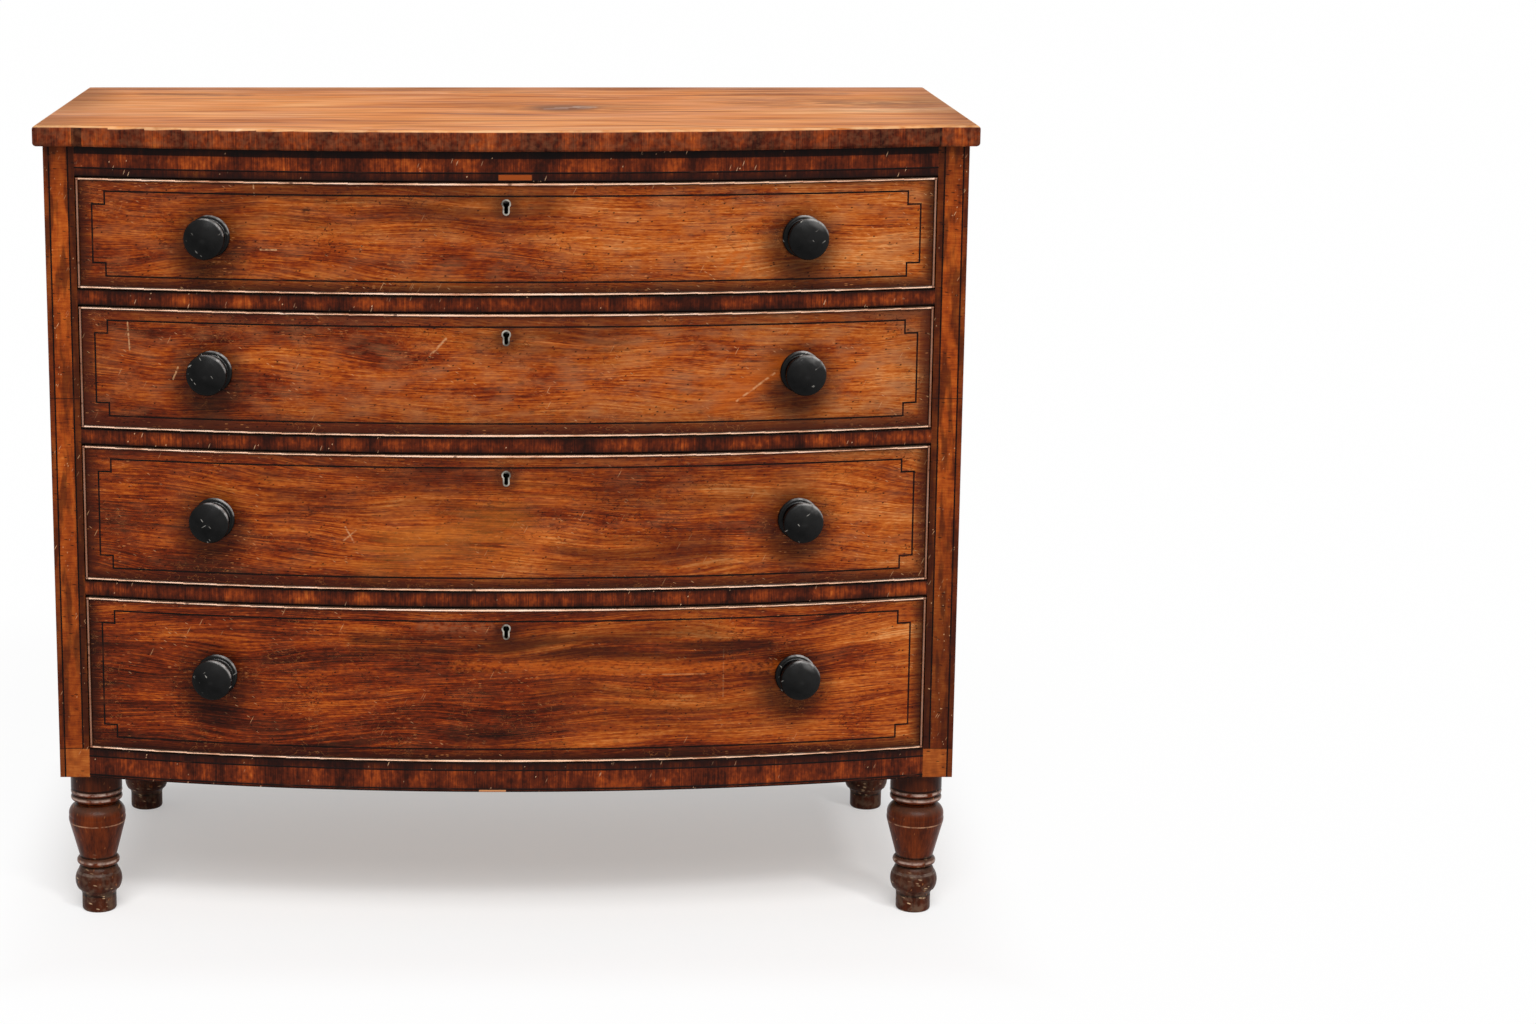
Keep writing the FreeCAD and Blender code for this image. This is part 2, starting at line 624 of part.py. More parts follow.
def lock_case(high):
    """The lock body: a case behind the keyhole, a plate on the inner face and one on the top edge."""
    inner = BOW_CROWN + FRONT_THICKNESS
    half = LOCK_WIDTH / 2
    plate_half = half + LOCK_PLATE_MARGIN
    depth = (inner - LOCK_DEPTH, inner)
    case = box((-half, half), depth, (high - LOCK_HEIGHT, high))
    plate = box(
        (-plate_half, plate_half),
        (inner - LOCK_PLATE_THICKNESS, inner),
        (high - LOCK_HEIGHT - LOCK_PLATE_MARGIN, high),
    )
    selvedge = box((-plate_half, plate_half), depth, (high - LOCK_PLATE_THICKNESS, high))
    return one_solid(case.fuse([plate, selvedge]))


def lock_bolt(high, clearance):
    """The lock bolt at rest, just below the top edge of the drawer front, or the slot round it."""
    half = BOLT_WIDTH / 2 + clearance
    top = high - BOLT_CLEARANCE
    return box((-half, half), bolt_y_range(clearance), (top - BOLT_LENGTH - clearance, top + clearance))


def drawer_front(z_range, pin, lock, joined):
    """The bowed front: rebated for its beads and cut for inlay, keyhole, lock and dovetails."""
    low, high = z_range
    field = bowed_slab(FRONT_HALF - BEAD_WIDTH, (0.0, BEAD_DEPTH), (low + BEAD_WIDTH, high - BEAD_WIDTH))
    core = bowed_slab(FRONT_HALF, (BEAD_DEPTH, FRONT_THICKNESS), z_range)
    inner = BOW_CROWN + FRONT_THICKNESS
    face = BOW_CROWN - BEAD_PROUD
    key_way = keyhole(pin, 0.0, (face, inner - LOCK_DEPTH))
    escutcheon_seat = keyhole(pin, ESCUTCHEON_RIM, (face, BOW_CROWN + ESCUTCHEON_DEPTH))
    lock_box = lock.BoundBox
    plate_opening = box(
        (lock_box.XMin, lock_box.XMax), (inner - LOCK_PLATE_THICKNESS, BOW_CENTRE), (lock_box.ZMin, high)
    )
    return one_solid(field.fuse(core).cut([key_way, escutcheon_seat, lock, plate_opening] + joined))


def knob_hole(x, z):
    radius = KNOB_SPIGOT_RADIUS + KNOB_SPIGOT_CLEARANCE
    depth = KNOB_SPIGOT_LENGTH + KNOB_SPIGOT_CLEARANCE
    return on_bow(Part.makeCylinder(radius, depth + BEAD_PROUD, point(0, 0, -depth)), x, z)


def drawer_nodes(number, level, height):
    """One drawer: front, box, beads, string inlay, knobs, lock and lock bolt."""
    low, high = level + FRONT_GAP, level + height - FRONT_GAP
    floor = level + RUNNING_CLEARANCE + DRAWER_BOTTOM_RAISE
    floor_top = floor + DRAWER_BOTTOM_THICKNESS
    side_top = high - DRAWER_SIDE_DROP
    groove = FRONT_THICKNESS - FRONT_GROOVE_DEPTH
    bottom = bowed_board(DRAWER_INNER + SIDE_GROOVE_DEPTH, groove, DRAWER_BACK, (floor, floor_top))
    sides = both_sides(drawer_side((level + RUNNING_CLEARANCE, side_top), floor_top, bottom))
    back = box(
        (-DRAWER_HALF, DRAWER_HALF),
        (DRAWER_BACK - DRAWER_BACK_THICKNESS, DRAWER_BACK),
        (floor_top, side_top - DRAWER_BACK_DROP),
    )
    knob_level = (low + high) / 2
    if number == len(OPENING_HEIGHTS):
        knob_level += BOTTOM_KNOB_LIFT
    pin = high - KEYHOLE_DROP
    escutcheon_range = (BOW_CROWN - ESCUTCHEON_PROUD, BOW_CROWN + ESCUTCHEON_DEPTH)
    escutcheon = keyhole(pin, ESCUTCHEON_RIM, escutcheon_range).cut(keyhole(pin, 0.0, escutcheon_range))
    lock = lock_case(high)
    lock_face = BOW_CROWN + FRONT_THICKNESS - LOCK_DEPTH
    key_way = keyhole(pin, 0.0, (lock_face, lock_face + KEYHOLE_LOCK_DEPTH))
    slotted_lock = lock.cut([lock_bolt(high, BOLT_CLEARANCE), key_way])
    inlay = stringing((low, high))
    holes = [knob_hole(x, knob_level) for x in (-KNOB_PLACE, KNOB_PLACE)]
    front = drawer_front((low, high), pin, lock, sides + [bottom, inlay] + holes)
    return {
        f"drawer_{number}_front": front,
        f"drawer_{number}_sides": sides,
        f"drawer_{number}_back": one_solid(back.cut(sides)),
        f"drawer_{number}_bottom": bottom,
        f"drawer_{number}_cockbeads": cockbeads((low, high)),
        f"drawer_{number}_stringing": inlay,
        f"drawer_{number}_knobs": [on_bow(knob(), x, knob_level) for x in (-KNOB_PLACE, KNOB_PLACE)],
        f"drawer_{number}_lock": [one_solid(slotted_lock), one_solid(escutcheon)],
        f"drawer_{number}_lock_bolt": lock_bolt(high, 0.0),
    }


def main():
    os.makedirs("parts", exist_ok=True)
    nodes = case_nodes()
    for number, (level, height) in enumerate(zip(opening_levels(), OPENING_HEIGHTS), 1):
        nodes.update(drawer_nodes(number, level, height))
    for name, piece in nodes.items():
        shape = Part.makeCompound(piece) if isinstance(piece, list) else piece
        shape.exportStep(f"parts/{name}.step")


if __name__ == "__main__":
    main()
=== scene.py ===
import math

import bmesh
import bpy
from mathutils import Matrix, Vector


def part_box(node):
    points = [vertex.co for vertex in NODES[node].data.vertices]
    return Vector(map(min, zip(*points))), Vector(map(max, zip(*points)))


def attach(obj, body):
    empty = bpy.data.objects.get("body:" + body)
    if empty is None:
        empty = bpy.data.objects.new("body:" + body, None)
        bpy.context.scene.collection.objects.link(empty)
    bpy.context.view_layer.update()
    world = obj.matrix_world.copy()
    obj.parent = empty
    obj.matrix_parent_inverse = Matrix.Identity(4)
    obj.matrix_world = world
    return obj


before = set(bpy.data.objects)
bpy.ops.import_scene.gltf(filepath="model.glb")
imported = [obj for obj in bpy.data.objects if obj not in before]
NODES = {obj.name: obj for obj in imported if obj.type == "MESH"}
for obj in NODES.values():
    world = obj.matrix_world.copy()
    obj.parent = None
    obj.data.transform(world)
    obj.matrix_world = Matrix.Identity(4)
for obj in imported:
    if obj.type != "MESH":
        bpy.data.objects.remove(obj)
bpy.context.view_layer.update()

# A bow front chest of four graduated drawers: polished mahogany with dark crossbanding,
# black string inlay, pale cockbeads, ebonised knobs and turned feet. Metres, front towards -Y.

MM = 0.001
DRAWERS = (1, 2, 3, 4)

# Places read from the frame
OPENING_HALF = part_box("stile_right")[0].x
CASE_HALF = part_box("stile_right")[1].x
CASE_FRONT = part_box("stile_right")[0].y
CASE_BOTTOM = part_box("stile_right")[0].z
CASE_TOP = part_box("stile_right")[1].z
CASE_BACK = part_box("side_right")[1].y
CASE_MIDDLE = (CASE_FRONT + CASE_BACK) / 2
BOW_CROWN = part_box("drawer_1_front")[0].y
BOW_RISE = CASE_FRONT - BOW_CROWN
BOW_RADIUS = (OPENING_HALF**2 + BOW_RISE**2) / (2 * BOW_RISE)
BOW_CENTRE = BOW_CROWN + BOW_RADIUS
LOCK_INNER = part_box("drawer_1_lock")[1].y
TOP_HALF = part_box("top")[1].x
TOP_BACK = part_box("top")[1].y
LOWEST_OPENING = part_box("bottom_rail")[1].z

# The photograph's view: pixels of its 1536 by 1024 frame, and metres
FRAME_WIDTH = 1536
FRAME_HEIGHT = 1024
FOCAL_PIXELS = 3187.4
AXIS_COLUMN = 506.2
AXIS_ROW = 440
CAMERA_PLACE = Vector((0.0, -3.808, 1.3011))
CAMERA_DIP = 0.1977
SENSOR_WIDTH = 36.0

# Inlay lines on the fronts and on the case, in millimetres
STRING_INSET = 15.0
LINE_WIDTH = 1.7
LINE_PROUD = 0.12
STILE_OUTER_LINE = 6.3
STILE_INNER_LINE = 7.4
TOP_RAIL_LINE = 9.5
BOTTOM_RAIL_LINES = (26.0, 3.5)
BOW_STEPS = 72

# Middle of a keyhole below the top edge of its lock, in millimetres
KEYHOLE_DROP = 27.0

# Fixings, in millimetres
SCREW_RADIUS = 3.2
SCREW_DOME = 0.9
SCREW_SLOT = 0.8
SCREW_EDGE = 5.5
NAIL_RADIUS = 2.6
NAIL_DOME = 0.8
NAIL_EDGE = 7.0
BACK_BOARDS = 4
NAILS_PER_END = 2

# Finishes: old wax polish mirrors little of a pale room, the linings are bare and the locks are metal
WAX_POLISH = {"Specular IOR Level": 0.08}
BARE_WOOD = {}
OLD_METAL = {"Metallic": 1.0}

# A range that eases in and out at its two ends
SOFT = {"interpolation_type": "SMOOTHSTEP"}


def linear(code):
    """An sRGB hex colour as linear red, green and blue, with alpha."""
    parts = [int(code[i : i + 2], 16) / 255 for i in (1, 3, 5)]
    return tuple(v / 12.92 if v <= 0.04045 else ((v + 0.055) / 1.055) ** 2.4 for v in parts) + (1.0,)


def add(tree, kind, inputs=(), out=None, stops=(), **settings):
    """Adds one node, a shader node where its kind is given in short, with its settings, values and
    links, and gives back one of its outputs. Inputs are given by name, or in order."""
    node = tree.nodes.new(kind if "Node" in kind else "ShaderNode" + kind)
    for name, value in settings.items():
        setattr(node, name, value)
    if stops:
        elements = node.color_ramp.elements
        elements.remove(elements[1])
        elements[0].position, elements[0].color = stops[0][0], linear(stops[0][1])
        for position, code in stops[1:]:
            elements.new(position).color = linear(code)
    named_inputs = inputs if isinstance(inputs, dict) else dict(enumerate(inputs))
    for key, value in named_inputs.items():
        named = [s for s in node.inputs if s.enabled and s.name == key]
        socket = named[0] if named else node.inputs[key]
        if isinstance(value, bpy.types.NodeSocket):
            tree.links.new(value, socket)
        else:
            socket.default_value = value
    if out:
        return node.outputs[out]
    return next((s for s in node.outputs if s.enabled), None)


def new_material(name):
    material = bpy.data.materials.new(name)
    material.use_nodes = True
    material.node_tree.nodes.clear()
    return material, material.node_tree


def surface(material, colour, roughness, height, relief, normal=None, finish=WAX_POLISH):
    """Ends a material with a colour, a roughness and a relief whose full height is in millimetres."""
    tree = material.node_tree
    relief_inputs = {"Height": height, "Distance": relief * MM}
    if normal:
        relief_inputs["Normal"] = normal
    bump = add(tree, "Bump", relief_inputs)
    inputs = {"Base Color": colour, "Roughness": roughness, "Normal": bump, **finish}
    shader = add(tree, "BsdfPrincipled", inputs)
    add(tree, "OutputMaterial", {"Surface": shader})
    return material


def grain_place(tree, order):
    """The place on a piece in millimetres: along the grain, across it and into the wood."""
    place = add(tree, "TexCoord", out="Object")
    axes = add(tree, "SeparateXYZ", (place,)).node.outputs
    turned = add(tree, "CombineXYZ", {i: axes[axis] for i, axis in enumerate(order)})
    return add(tree, "VectorMath", {0: turned, "Scale": 1 / MM}, operation="SCALE")


def shift_for(seed):
    """A place far from other seeds in an endless pattern."""
    return Vector((613.0, 271.0, 397.0)) * seed


def streaks(tree, place, size, seed, detail=2.0):
    """Soft noise from 0 to 1, with features of this size in millimetres."""
    inputs = {"Vector": place, "Location": shift_for(seed), "Scale": size}
    scaled = add(tree, "Mapping", inputs, vector_type="TEXTURE")
    return add(tree, "TexNoise", {"Vector": scaled, "Scale": 1.0, "Detail": detail})


def patches(tree, place, size, seed, none, full, detail=2.0):
    """Patches of this size in millimetres, gone at one level of their noise and full at another."""
    noise = streaks(tree, place, size, seed, detail)
    return add(tree, "MapRange", (noise, none, full))


def wavering(tree, place, waves, slope=0.0, deep=True):
    """A place whose grain slopes and sways. Each wave has a size and a sway in millimetres, and a seed."""
    axes = add(tree, "SeparateXYZ", (place,)).node.outputs
    across = add(tree, "Math", (axes["X"], slope, axes["Y"]), operation="MULTIPLY_ADD")
    for size, sway, seed in waves:
        wave = streaks(tree, place, size, seed, detail=1.0)
        across = add(tree, "Math", (wave, sway, across), operation="MULTIPLY_ADD")
    depth = axes["Z"] if deep else 0.0
    return add(tree, "CombineXYZ", {"X": axes["X"], "Y": across, "Z": depth})


def dashes(tree, place, size, share, turn, seed):
    """Scattered marks of this length and width in millimetres, in a share of all the cells."""
    inputs = {"Vector": place, "Location": shift_for(seed), "Rotation": (0, 0, turn), "Scale": (*size, 1)}
    scaled = add(tree, "Mapping", inputs, vector_type="TEXTURE")
    cell = add(tree, "TexVoronoi", {"Vector": scaled, "Scale": 1.0}, voronoi_dimensions="2D")
    lot = add(tree, "SeparateColor", (cell.node.outputs["Color"],))
    chosen = add(tree, "Math", (lot, share), operation="LESS_THAN")
    core = add(tree, "MapRange", (cell.node.outputs["Distance"], 0.42, 0.22))
    return add(tree, "Math", (core, chosen), operation="MULTIPLY")


def clustered(tree, place, size, seed, *kinds):
    """Scattered marks of one or more kinds, kept in patches of about this size in millimetres."""
    marks = kinds[0]
    for kind in kinds[1:]:
        marks = add(tree, "Math", (marks, kind), operation="MAXIMUM")
    patch = patches(tree, place, (size, size, size), seed, 0.48, 0.62)
    return add(tree, "Math", (marks, patch), operation="MULTIPLY")


def crazing(tree, place, size, width, seed):
    """Fine wandering cracks in old polish, in patches. The size of their loops is in millimetres."""
    field = streaks(tree, place, size, seed, detail=3.0)
    field = add(tree, "Math", (field, 0.5), operation="SUBTRACT")
    field = add(tree, "Math", (field,), operation="ABSOLUTE")
    lines = add(tree, "MapRange", (field, width, 0.3 * width))
    return clustered(tree, place, 4 * size[0], seed + 1, lines)


def proud_of_bow(tree, place):
    """How far a place stands in front of the bowed faces, in millimetres."""
    away = add(tree, "VectorMath", (place, (0, 0, BOW_CENTRE / MM)), operation="SUBTRACT")
    away = add(tree, "VectorMath", (away, (1, 0, 1)), operation="MULTIPLY")
    reach = add(tree, "VectorMath", (away,), out="Value", operation="LENGTH")
    return add(tree, "Math", (reach, BOW_RADIUS / MM), operation="SUBTRACT")


def facing(tree, axis):
    """How far a face looks along an axis, from -1 to 1."""
    normal = add(tree, "NewGeometry", out="Normal")
    return add(tree, "SeparateXYZ", (normal,)).node.outputs[axis]


def layered_tone(tree, middle, layers):
    """A tone about a middle value, from layers of noise that each swing it by their weight."""
    tone = middle - sum(weight for layer, weight in layers) / 2
    for layer, weight in layers:
        tone = add(tree, "Math", (layer, weight, tone), operation="MULTIPLY_ADD")
    return tone


def painted(tree, colour, coats):
    """A colour with coats laid over it in turn. A coat has one or more masks, which all have to be full
    where it covers, and then its colour and its strength."""
    for *masks, code, strength in coats:
        share = strength
        for mask in masks:
            share = add(tree, "Math", (mask, share), operation="MULTIPLY", use_clamp=True)
        inputs = {"Factor": share, "A": colour, "B": linear(code)}
        colour = add(tree, "Mix", inputs, data_type="RGBA")
    return colour


def edge_distance(tree, place, centre, half):
    """How far a place is inside a rectangle's nearest edge, in millimetres."""
    away = add(tree, "VectorMath", (place, (*centre, 0)), operation="SUBTRACT")
    away = add(tree, "VectorMath", (away,), operation="ABSOLUTE")
    inside = add(tree, "VectorMath", ((*half, 0), away), operation="SUBTRACT")
    axes = add(tree, "SeparateXYZ", (inside,)).node.outputs
    return add(tree, "Math", (axes["X"], axes["Y"]), operation="MINIMUM")


def spot_distance(tree, place, spots):
    """How far a place on a face is from the nearest of some spots, in millimetres."""
    flat = add(tree, "VectorMath", (place, (1, 1, 0)), operation="MULTIPLY")
    nearest = None
    for spot in spots:
        reach = add(tree, "VectorMath", (flat, (*spot, 0)), out="Value", operation="DISTANCE")
        if nearest:
            reach = add(tree, "Math", (nearest, reach), operation="MINIMUM")
        nearest = reach
    return nearest


def stroke(tree, place, start, end, width):
    """A straight rub mark between two spots, full along its middle and gone at its width."""
    run = Vector((*end, 0)) - Vector((*start, 0))
    away = add(tree, "VectorMath", (place, (*start, 0)), operation="SUBTRACT")
    away = add(tree, "VectorMath", (away, (1, 1, 0)), operation="MULTIPLY")
    share = (away, run / run.length_squared)
    share = add(tree, "VectorMath", share, out="Value", operation="DOT_PRODUCT")
    share = add(tree, "Clamp", {"Value": share})
    nearest = add(tree, "VectorMath", {0: run, "Scale": share}, operation="SCALE")
    reach = add(tree, "VectorMath", (away, nearest), out="Value", operation="DISTANCE")
    return add(tree, "MapRange", (reach, width, 0.3 * width))


def worn_edges(tree, radius, seed):
    """A softened normal at the edges of a piece, and a patchy mask of where its polish is rubbed."""
    soft = add(tree, "Bevel", {"Radius": radius * MM}, samples=6)
    straight = add(tree, "NewGeometry", out="Normal")
    alike = add(tree, "VectorMath", (soft, straight), out="Value", operation="DOT_PRODUCT")
    edge = add(tree, "MapRange", (alike, 0.985, 0.86))
    place = grain_place(tree, "XZY")
    worn = patches(tree, place, (16, 16, 16), seed, 0.36, 0.62, detail=3.0)
    return soft, add(tree, "Math", (edge, worn), operation="MULTIPLY")


# Aged pine, from its dark winter lines to its pale summer wood
PINE_STOPS = ((0.0, "#5e3a1c"), (0.4, "#9a6e41"), (0.7, "#c0925c"), (1.0, "#dab27e"))

# Polished mahogany veneer on the drawer fronts. The eye gets horizontal ribbons from dark red-brown
# to honey, with painted light that makes them paler towards the right and dust that grows that way,
# short dark pores, pale hair scratches, soiling and painted shade towards the beads, and soiling and a
# painted knob shadow round the knobs. Marks are given as (start, end, width, colour, strength) in
# millimetres across the chest and above the floor, and the wide ones follow the grain.
FRONT_STOPS = (
    (0.0, "#160401"),
    (0.24, "#421203"),
    (0.44, "#702607"),
    (0.60, "#96420e"),
    (0.78, "#b05d20"),
    (1.0, "#cb844a"),
)
FRONT_TONES = {1: 0.605, 2: 0.555, 3: 0.53, 4: 0.45}
FRONT_SLOPES = {1: 0.035, 2: 0.02, 3: 0.045, 4: -0.03}
PAINTED_LIGHT_TO_RIGHT = {1: 0.10, 2: 0.14, 3: 0.11, 4: 0.12}
RIBBONS = {1: 0.5, 2: 0.4, 3: 0.6, 4: 0.8}
DUST = {1: 0.50, 2: 0.70, 3: 0.30, 4: 0.10}
SHADE = {1: 0.16, 2: 0.36, 3: 0.16, 4: 0.06}
BORDER = {1: 0.12, 2: 0.36, 3: 0.2, 4: 0.08}
WIDE_MARK = 15.0
PALE = "#d3a273"
RUBBED = "#ad5215"
DARK = "#1b0a05"
DUSTY = "#9a6440"
DUSKY = "#381204"
FRONT_MARKS = {
    1: [
        ((-310, 868), (35, 862), 48.0, DUSKY, 0.62),
        ((243, 785), (263, 808), 4.5, RUBBED, 0.85),
        ((257, 778), (272, 798), 4.5, RUBBED, 0.85),
        ((-277, 806), (-259, 806), 1.3, PALE, 0.65),
        ((-284, 880), (-283, 868), 1.2, PALE, 0.55),
        ((-225, 850), (-224, 851), 6.0, DARK, 0.75),
        ((70, 815), (72, 808), 2.0, DARK, 0.7),
    ],
    2: [
        ((-20, 712), (115, 708), 42.0, DUSKY, 0.48),
        ((241, 629), (312, 673), 20.0, RUBBED, 0.5),
        ((262, 633), (305, 664), 1.6, PALE, 0.5),
        ((-432, 719), (-430, 687), 1.3, PALE, 0.55),
        ((-380, 655), (-374, 669), 1.3, PALE, 0.55),
        ((-85, 689), (-68, 707), 1.8, PALE, 0.5),
    ],
    3: [
        ((-184, 488), (-174, 470), 1.3, PALE, 0.45),
        ((-186, 472), (-172, 484), 1.2, PALE, 0.4),
        ((-260, 535), (320, 530), 46.0, DUSKY, 0.4),
        ((70, 452), (235, 462), 34.0, "#3a0f03", 0.6),
        ((-150, 462), (0, 486), 44.0, "#b56a24", 0.35),
    ],
    4: [
        ((-96, 375), (-20, 371), 12.0, "#8f5433", 0.45),
        ((154, 314), (233, 313), 1.0, PALE, 0.36),
        ((251, 345), (251, 285), 0.9, PALE, 0.26),
        ((-170, 350), (300, 344), 20.0, DARK, 0.7),
        ((10, 358), (230, 352), 40.0, DUSKY, 0.55),
        ((50, 282), (280, 278), 50.0, DUSKY, 0.5),
        ((-60, 326), (330, 318), 10.0, RUBBED, 0.5),
        ((-60, 240), (60, 236), 16.0, DARK, 0.4),
    ],
}

# Darkening on the fronts, in millimetres: how much less soiling and painted shade lie along the upper
# edge, and where soiling and a painted knob shadow lie, below the middle of each knob and, at the right
# one, nearer to the middle of the chest
EDGE_DARK_LESS_ABOVE = 9.0
DIRT_AND_SHADOW_DROP = 13.0
DIRT_AND_SHADOW_SHIFT = 6.0

# Lap dovetails that show on the ends of the drawer fronts, in millimetres, and how squarely a face has
# to look sideways to be such an end
TAIL_PITCH = 36.0
TAIL_ROOT_WIDTH = 20.0
TAIL_LENGTH = 11.0
TAIL_SLOPE = 1.0 / 6.0
TAIL_LINE = 0.4
END_FACING = 0.95


def keyhole_place(number):
    """The middle of a drawer's keyhole, in millimetres across the chest and above the floor."""
    return (0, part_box(f"drawer_{number}_lock")[1].z / MM - KEYHOLE_DROP)


def dovetailed(tree, place, colour, number):
    """The colour of a drawer front with the pine tails of its sides laid over its ends."""
    low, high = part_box(f"drawer_{number}_sides")
    height = (high.z - low.z) / MM
    pitch = height / max(2, round(height / TAIL_PITCH))
    axes = add(tree, "SeparateXYZ", (place,)).node.outputs
    run = add(tree, "Math", (axes["Z"], low.y / MM), operation="SUBTRACT")
    level = add(tree, "Math", (axes["Y"], low.z / MM), operation="SUBTRACT")
    level = add(tree, "Math", (level, pitch), operation="FLOORED_MODULO")
    level = add(tree, "Math", (level, pitch / 2), operation="SUBTRACT")
    level = add(tree, "Math", (level,), operation="ABSOLUTE")
    tip_half = TAIL_ROOT_WIDTH / 2 + TAIL_LENGTH * TAIL_SLOPE
    half = add(tree, "Math", (run, -TAIL_SLOPE, tip_half), operation="MULTIPLY_ADD")
    inside = add(tree, "Math", (half, level), operation="SUBTRACT")
    inside = add(tree, "Math", (inside, run), operation="MINIMUM")
    behind = add(tree, "Math", (run, TAIL_LENGTH), operation="SUBTRACT")
    inside = add(tree, "Math", (inside, behind), operation="MAXIMUM")
    turned = add(tree, "Math", (facing(tree, "X"),), operation="ABSOLUTE")
    end = add(tree, "Math", (turned, END_FACING), operation="GREATER_THAN")
    tail = add(tree, "Math", (inside, 0.0), operation="GREATER_THAN")
    tail = add(tree, "Math", (tail, end), operation="MULTIPLY")
    line = add(tree, "Math", (inside, 0.0, TAIL_LINE), operation="COMPARE")
    tone = streaks(tree, place, (20, 2.0, 60), 180 + number, detail=3.0)
    pine = add(tree, "ValToRGB", (tone,), stops=PINE_STOPS)
    colour = add(tree, "Mix", {"Factor": tail, "A": colour, "B": pine}, data_type="RGBA")
    return painted(tree, colour, [(line, end, "#1d0d05", 0.85)])


def drawer_veneer(number):
    material, tree = new_material(f"mahogany_veneer_drawer_{number}")
    low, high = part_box(f"drawer_{number}_front")
    middle = (0, (low.z + high.z) / 2 / MM)
    half = (high.x / MM, (high.z - low.z) / 2 / MM)
    place = grain_place(tree, "XZY")
    axes = add(tree, "SeparateXYZ", (place,)).node.outputs
    grain = wavering(tree, place, [((240, 70, 200), 46.0, number)], FRONT_SLOPES[number])
    fine = streaks(tree, grain, (60, 1.4, 20), number + 30, detail=3.0)
    layers = [
        (streaks(tree, grain, (640, 24, 60), number + 10, detail=3.0), RIBBONS[number]),
        (streaks(tree, grain, (260, 5, 30), number + 20, detail=3.0), 0.5 * RIBBONS[number]),
        (fine, 1.0),
        (streaks(tree, grain, (150, 46, 60), number + 40, detail=4.0), 0.9),
        (streaks(tree, place, (7, 2.2, 9), number + 45, detail=3.0), 0.5),
    ]
    tone = layered_tone(tree, FRONT_TONES[number], layers)
    # Painted light that grows towards the right
    lit_to_right = (axes["X"], PAINTED_LIGHT_TO_RIGHT[number] / half[0], tone)
    tone = add(tree, "Math", lit_to_right, operation="MULTIPLY_ADD")
    colour = add(tree, "ValToRGB", (tone,), stops=FRONT_STOPS)

    dust = patches(tree, place, (34, 14, 20), number + 47, 0.44, 0.70, detail=5.0)
    drier = add(tree, "MapRange", (axes["X"], -half[0], half[0], 0.4, 1.0))
    low_middle = (0, middle[1] + EDGE_DARK_LESS_ABOVE / 2)
    low_half = (half[0], half[1] + EDGE_DARK_LESS_ABOVE / 2)
    low_edge = edge_distance(tree, place, low_middle, low_half)
    # Soiling and painted shade towards the beads, and a wider painted shade that reaches further in
    darker_at_edges = add(tree, "MapRange", (low_edge, 22.0, 3.0), **SOFT)
    shade = add(tree, "MapRange", (low_edge, 60.0, 8.0), **SOFT)
    edge = edge_distance(tree, place, middle, half)
    border = add(tree, "Math", (edge, STRING_INSET), operation="LESS_THAN")
    knob_low, knob_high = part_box(f"drawer_{number}_knobs")
    knob_place = (knob_high.x - (knob_high.z - knob_low.z) / 2) / MM
    dirt_and_shadow_level = (knob_low.z + knob_high.z) / 2 / MM - DIRT_AND_SHADOW_DROP
    dirt_and_shadow_spots = [(-knob_place, dirt_and_shadow_level), (knob_place - DIRT_AND_SHADOW_SHIFT, dirt_and_shadow_level)]
    knob_spot_reach = spot_distance(tree, place, dirt_and_shadow_spots)
    # Soiling and a painted shadow below each knob, nearer the middle of the chest at the right one
    knob_dirt_and_shadow = add(tree, "MapRange", (knob_spot_reach, 62.0, 25.0), **SOFT)
    keyhole = spot_distance(tree, place, [keyhole_place(number)])
    smut = add(tree, "MapRange", (keyhole, 22.0, 8.0), **SOFT)
    dirt_and_shade = [
        (dust, drier, DUSTY, DUST[number]),
        (darker_at_edges, "#120401", 0.86),
        (shade, "#3a1406", SHADE[number]),
        (border, "#4c1c10", BORDER[number]),
        (knob_dirt_and_shadow, "#140502", 0.7),
        (smut, "#150a06", 0.55),
    ]
    colour = painted(tree, colour, dirt_and_shade)

    pores = dashes(tree, place, (12.0, 1.2), 0.14, 0.0, number + 50)
    flecks = dashes(tree, place, (6.0, 1.3), 0.04, 0.05, number + 65)
    hairs = dashes(tree, place, (15.0, 1.1), 0.005, 1.1, number + 70)
    ticks = dashes(tree, place, (6.0, 1.2), 0.014, -0.5, number + 80)
    wear = [
        (pores, "#1b0702", 0.5),
        (crazing(tree, place, (22, 9, 12), 0.014, number + 95), "#1a0602", 0.6),
        (crazing(tree, place, (13, 8, 12), 0.012, number + 97), "#b5703a", 0.28),
        (dashes(tree, place, (3.8, 2.6), 0.02, 0.3, number + 60), "#100502", 0.8),
        (clustered(tree, place, 50.0, number + 67, flecks), "#c9824c", 0.45),
        (clustered(tree, place, 60.0, number + 75, hairs, ticks), PALE, 0.45),
    ]
    colour = painted(tree, colour, wear)

    broken = patches(tree, place, (6, 4, 6), number + 85, 0.36, 0.58)
    along = patches(tree, grain, (120, 9, 30), number + 88, 0.32, 0.54, detail=3.0)
    marks = []
    for start, end, width, code, strength in FRONT_MARKS[number]:
        patchy = along if width > WIDE_MARK else broken
        marks.append((stroke(tree, place, start, end, width), patchy, code, strength))
    # Painted black shade inside the keyhole, where it sinks into the front
    deep = add(tree, "MapRange", (axes["Z"], BOW_CROWN / MM + 1.0, BOW_CROWN / MM + 2.0))
    near = add(tree, "Math", (keyhole, 14.0), operation="LESS_THAN")
    marks.append((near, deep, "#040302", 0.95))
    colour = dovetailed(tree, place, painted(tree, colour, marks), number)

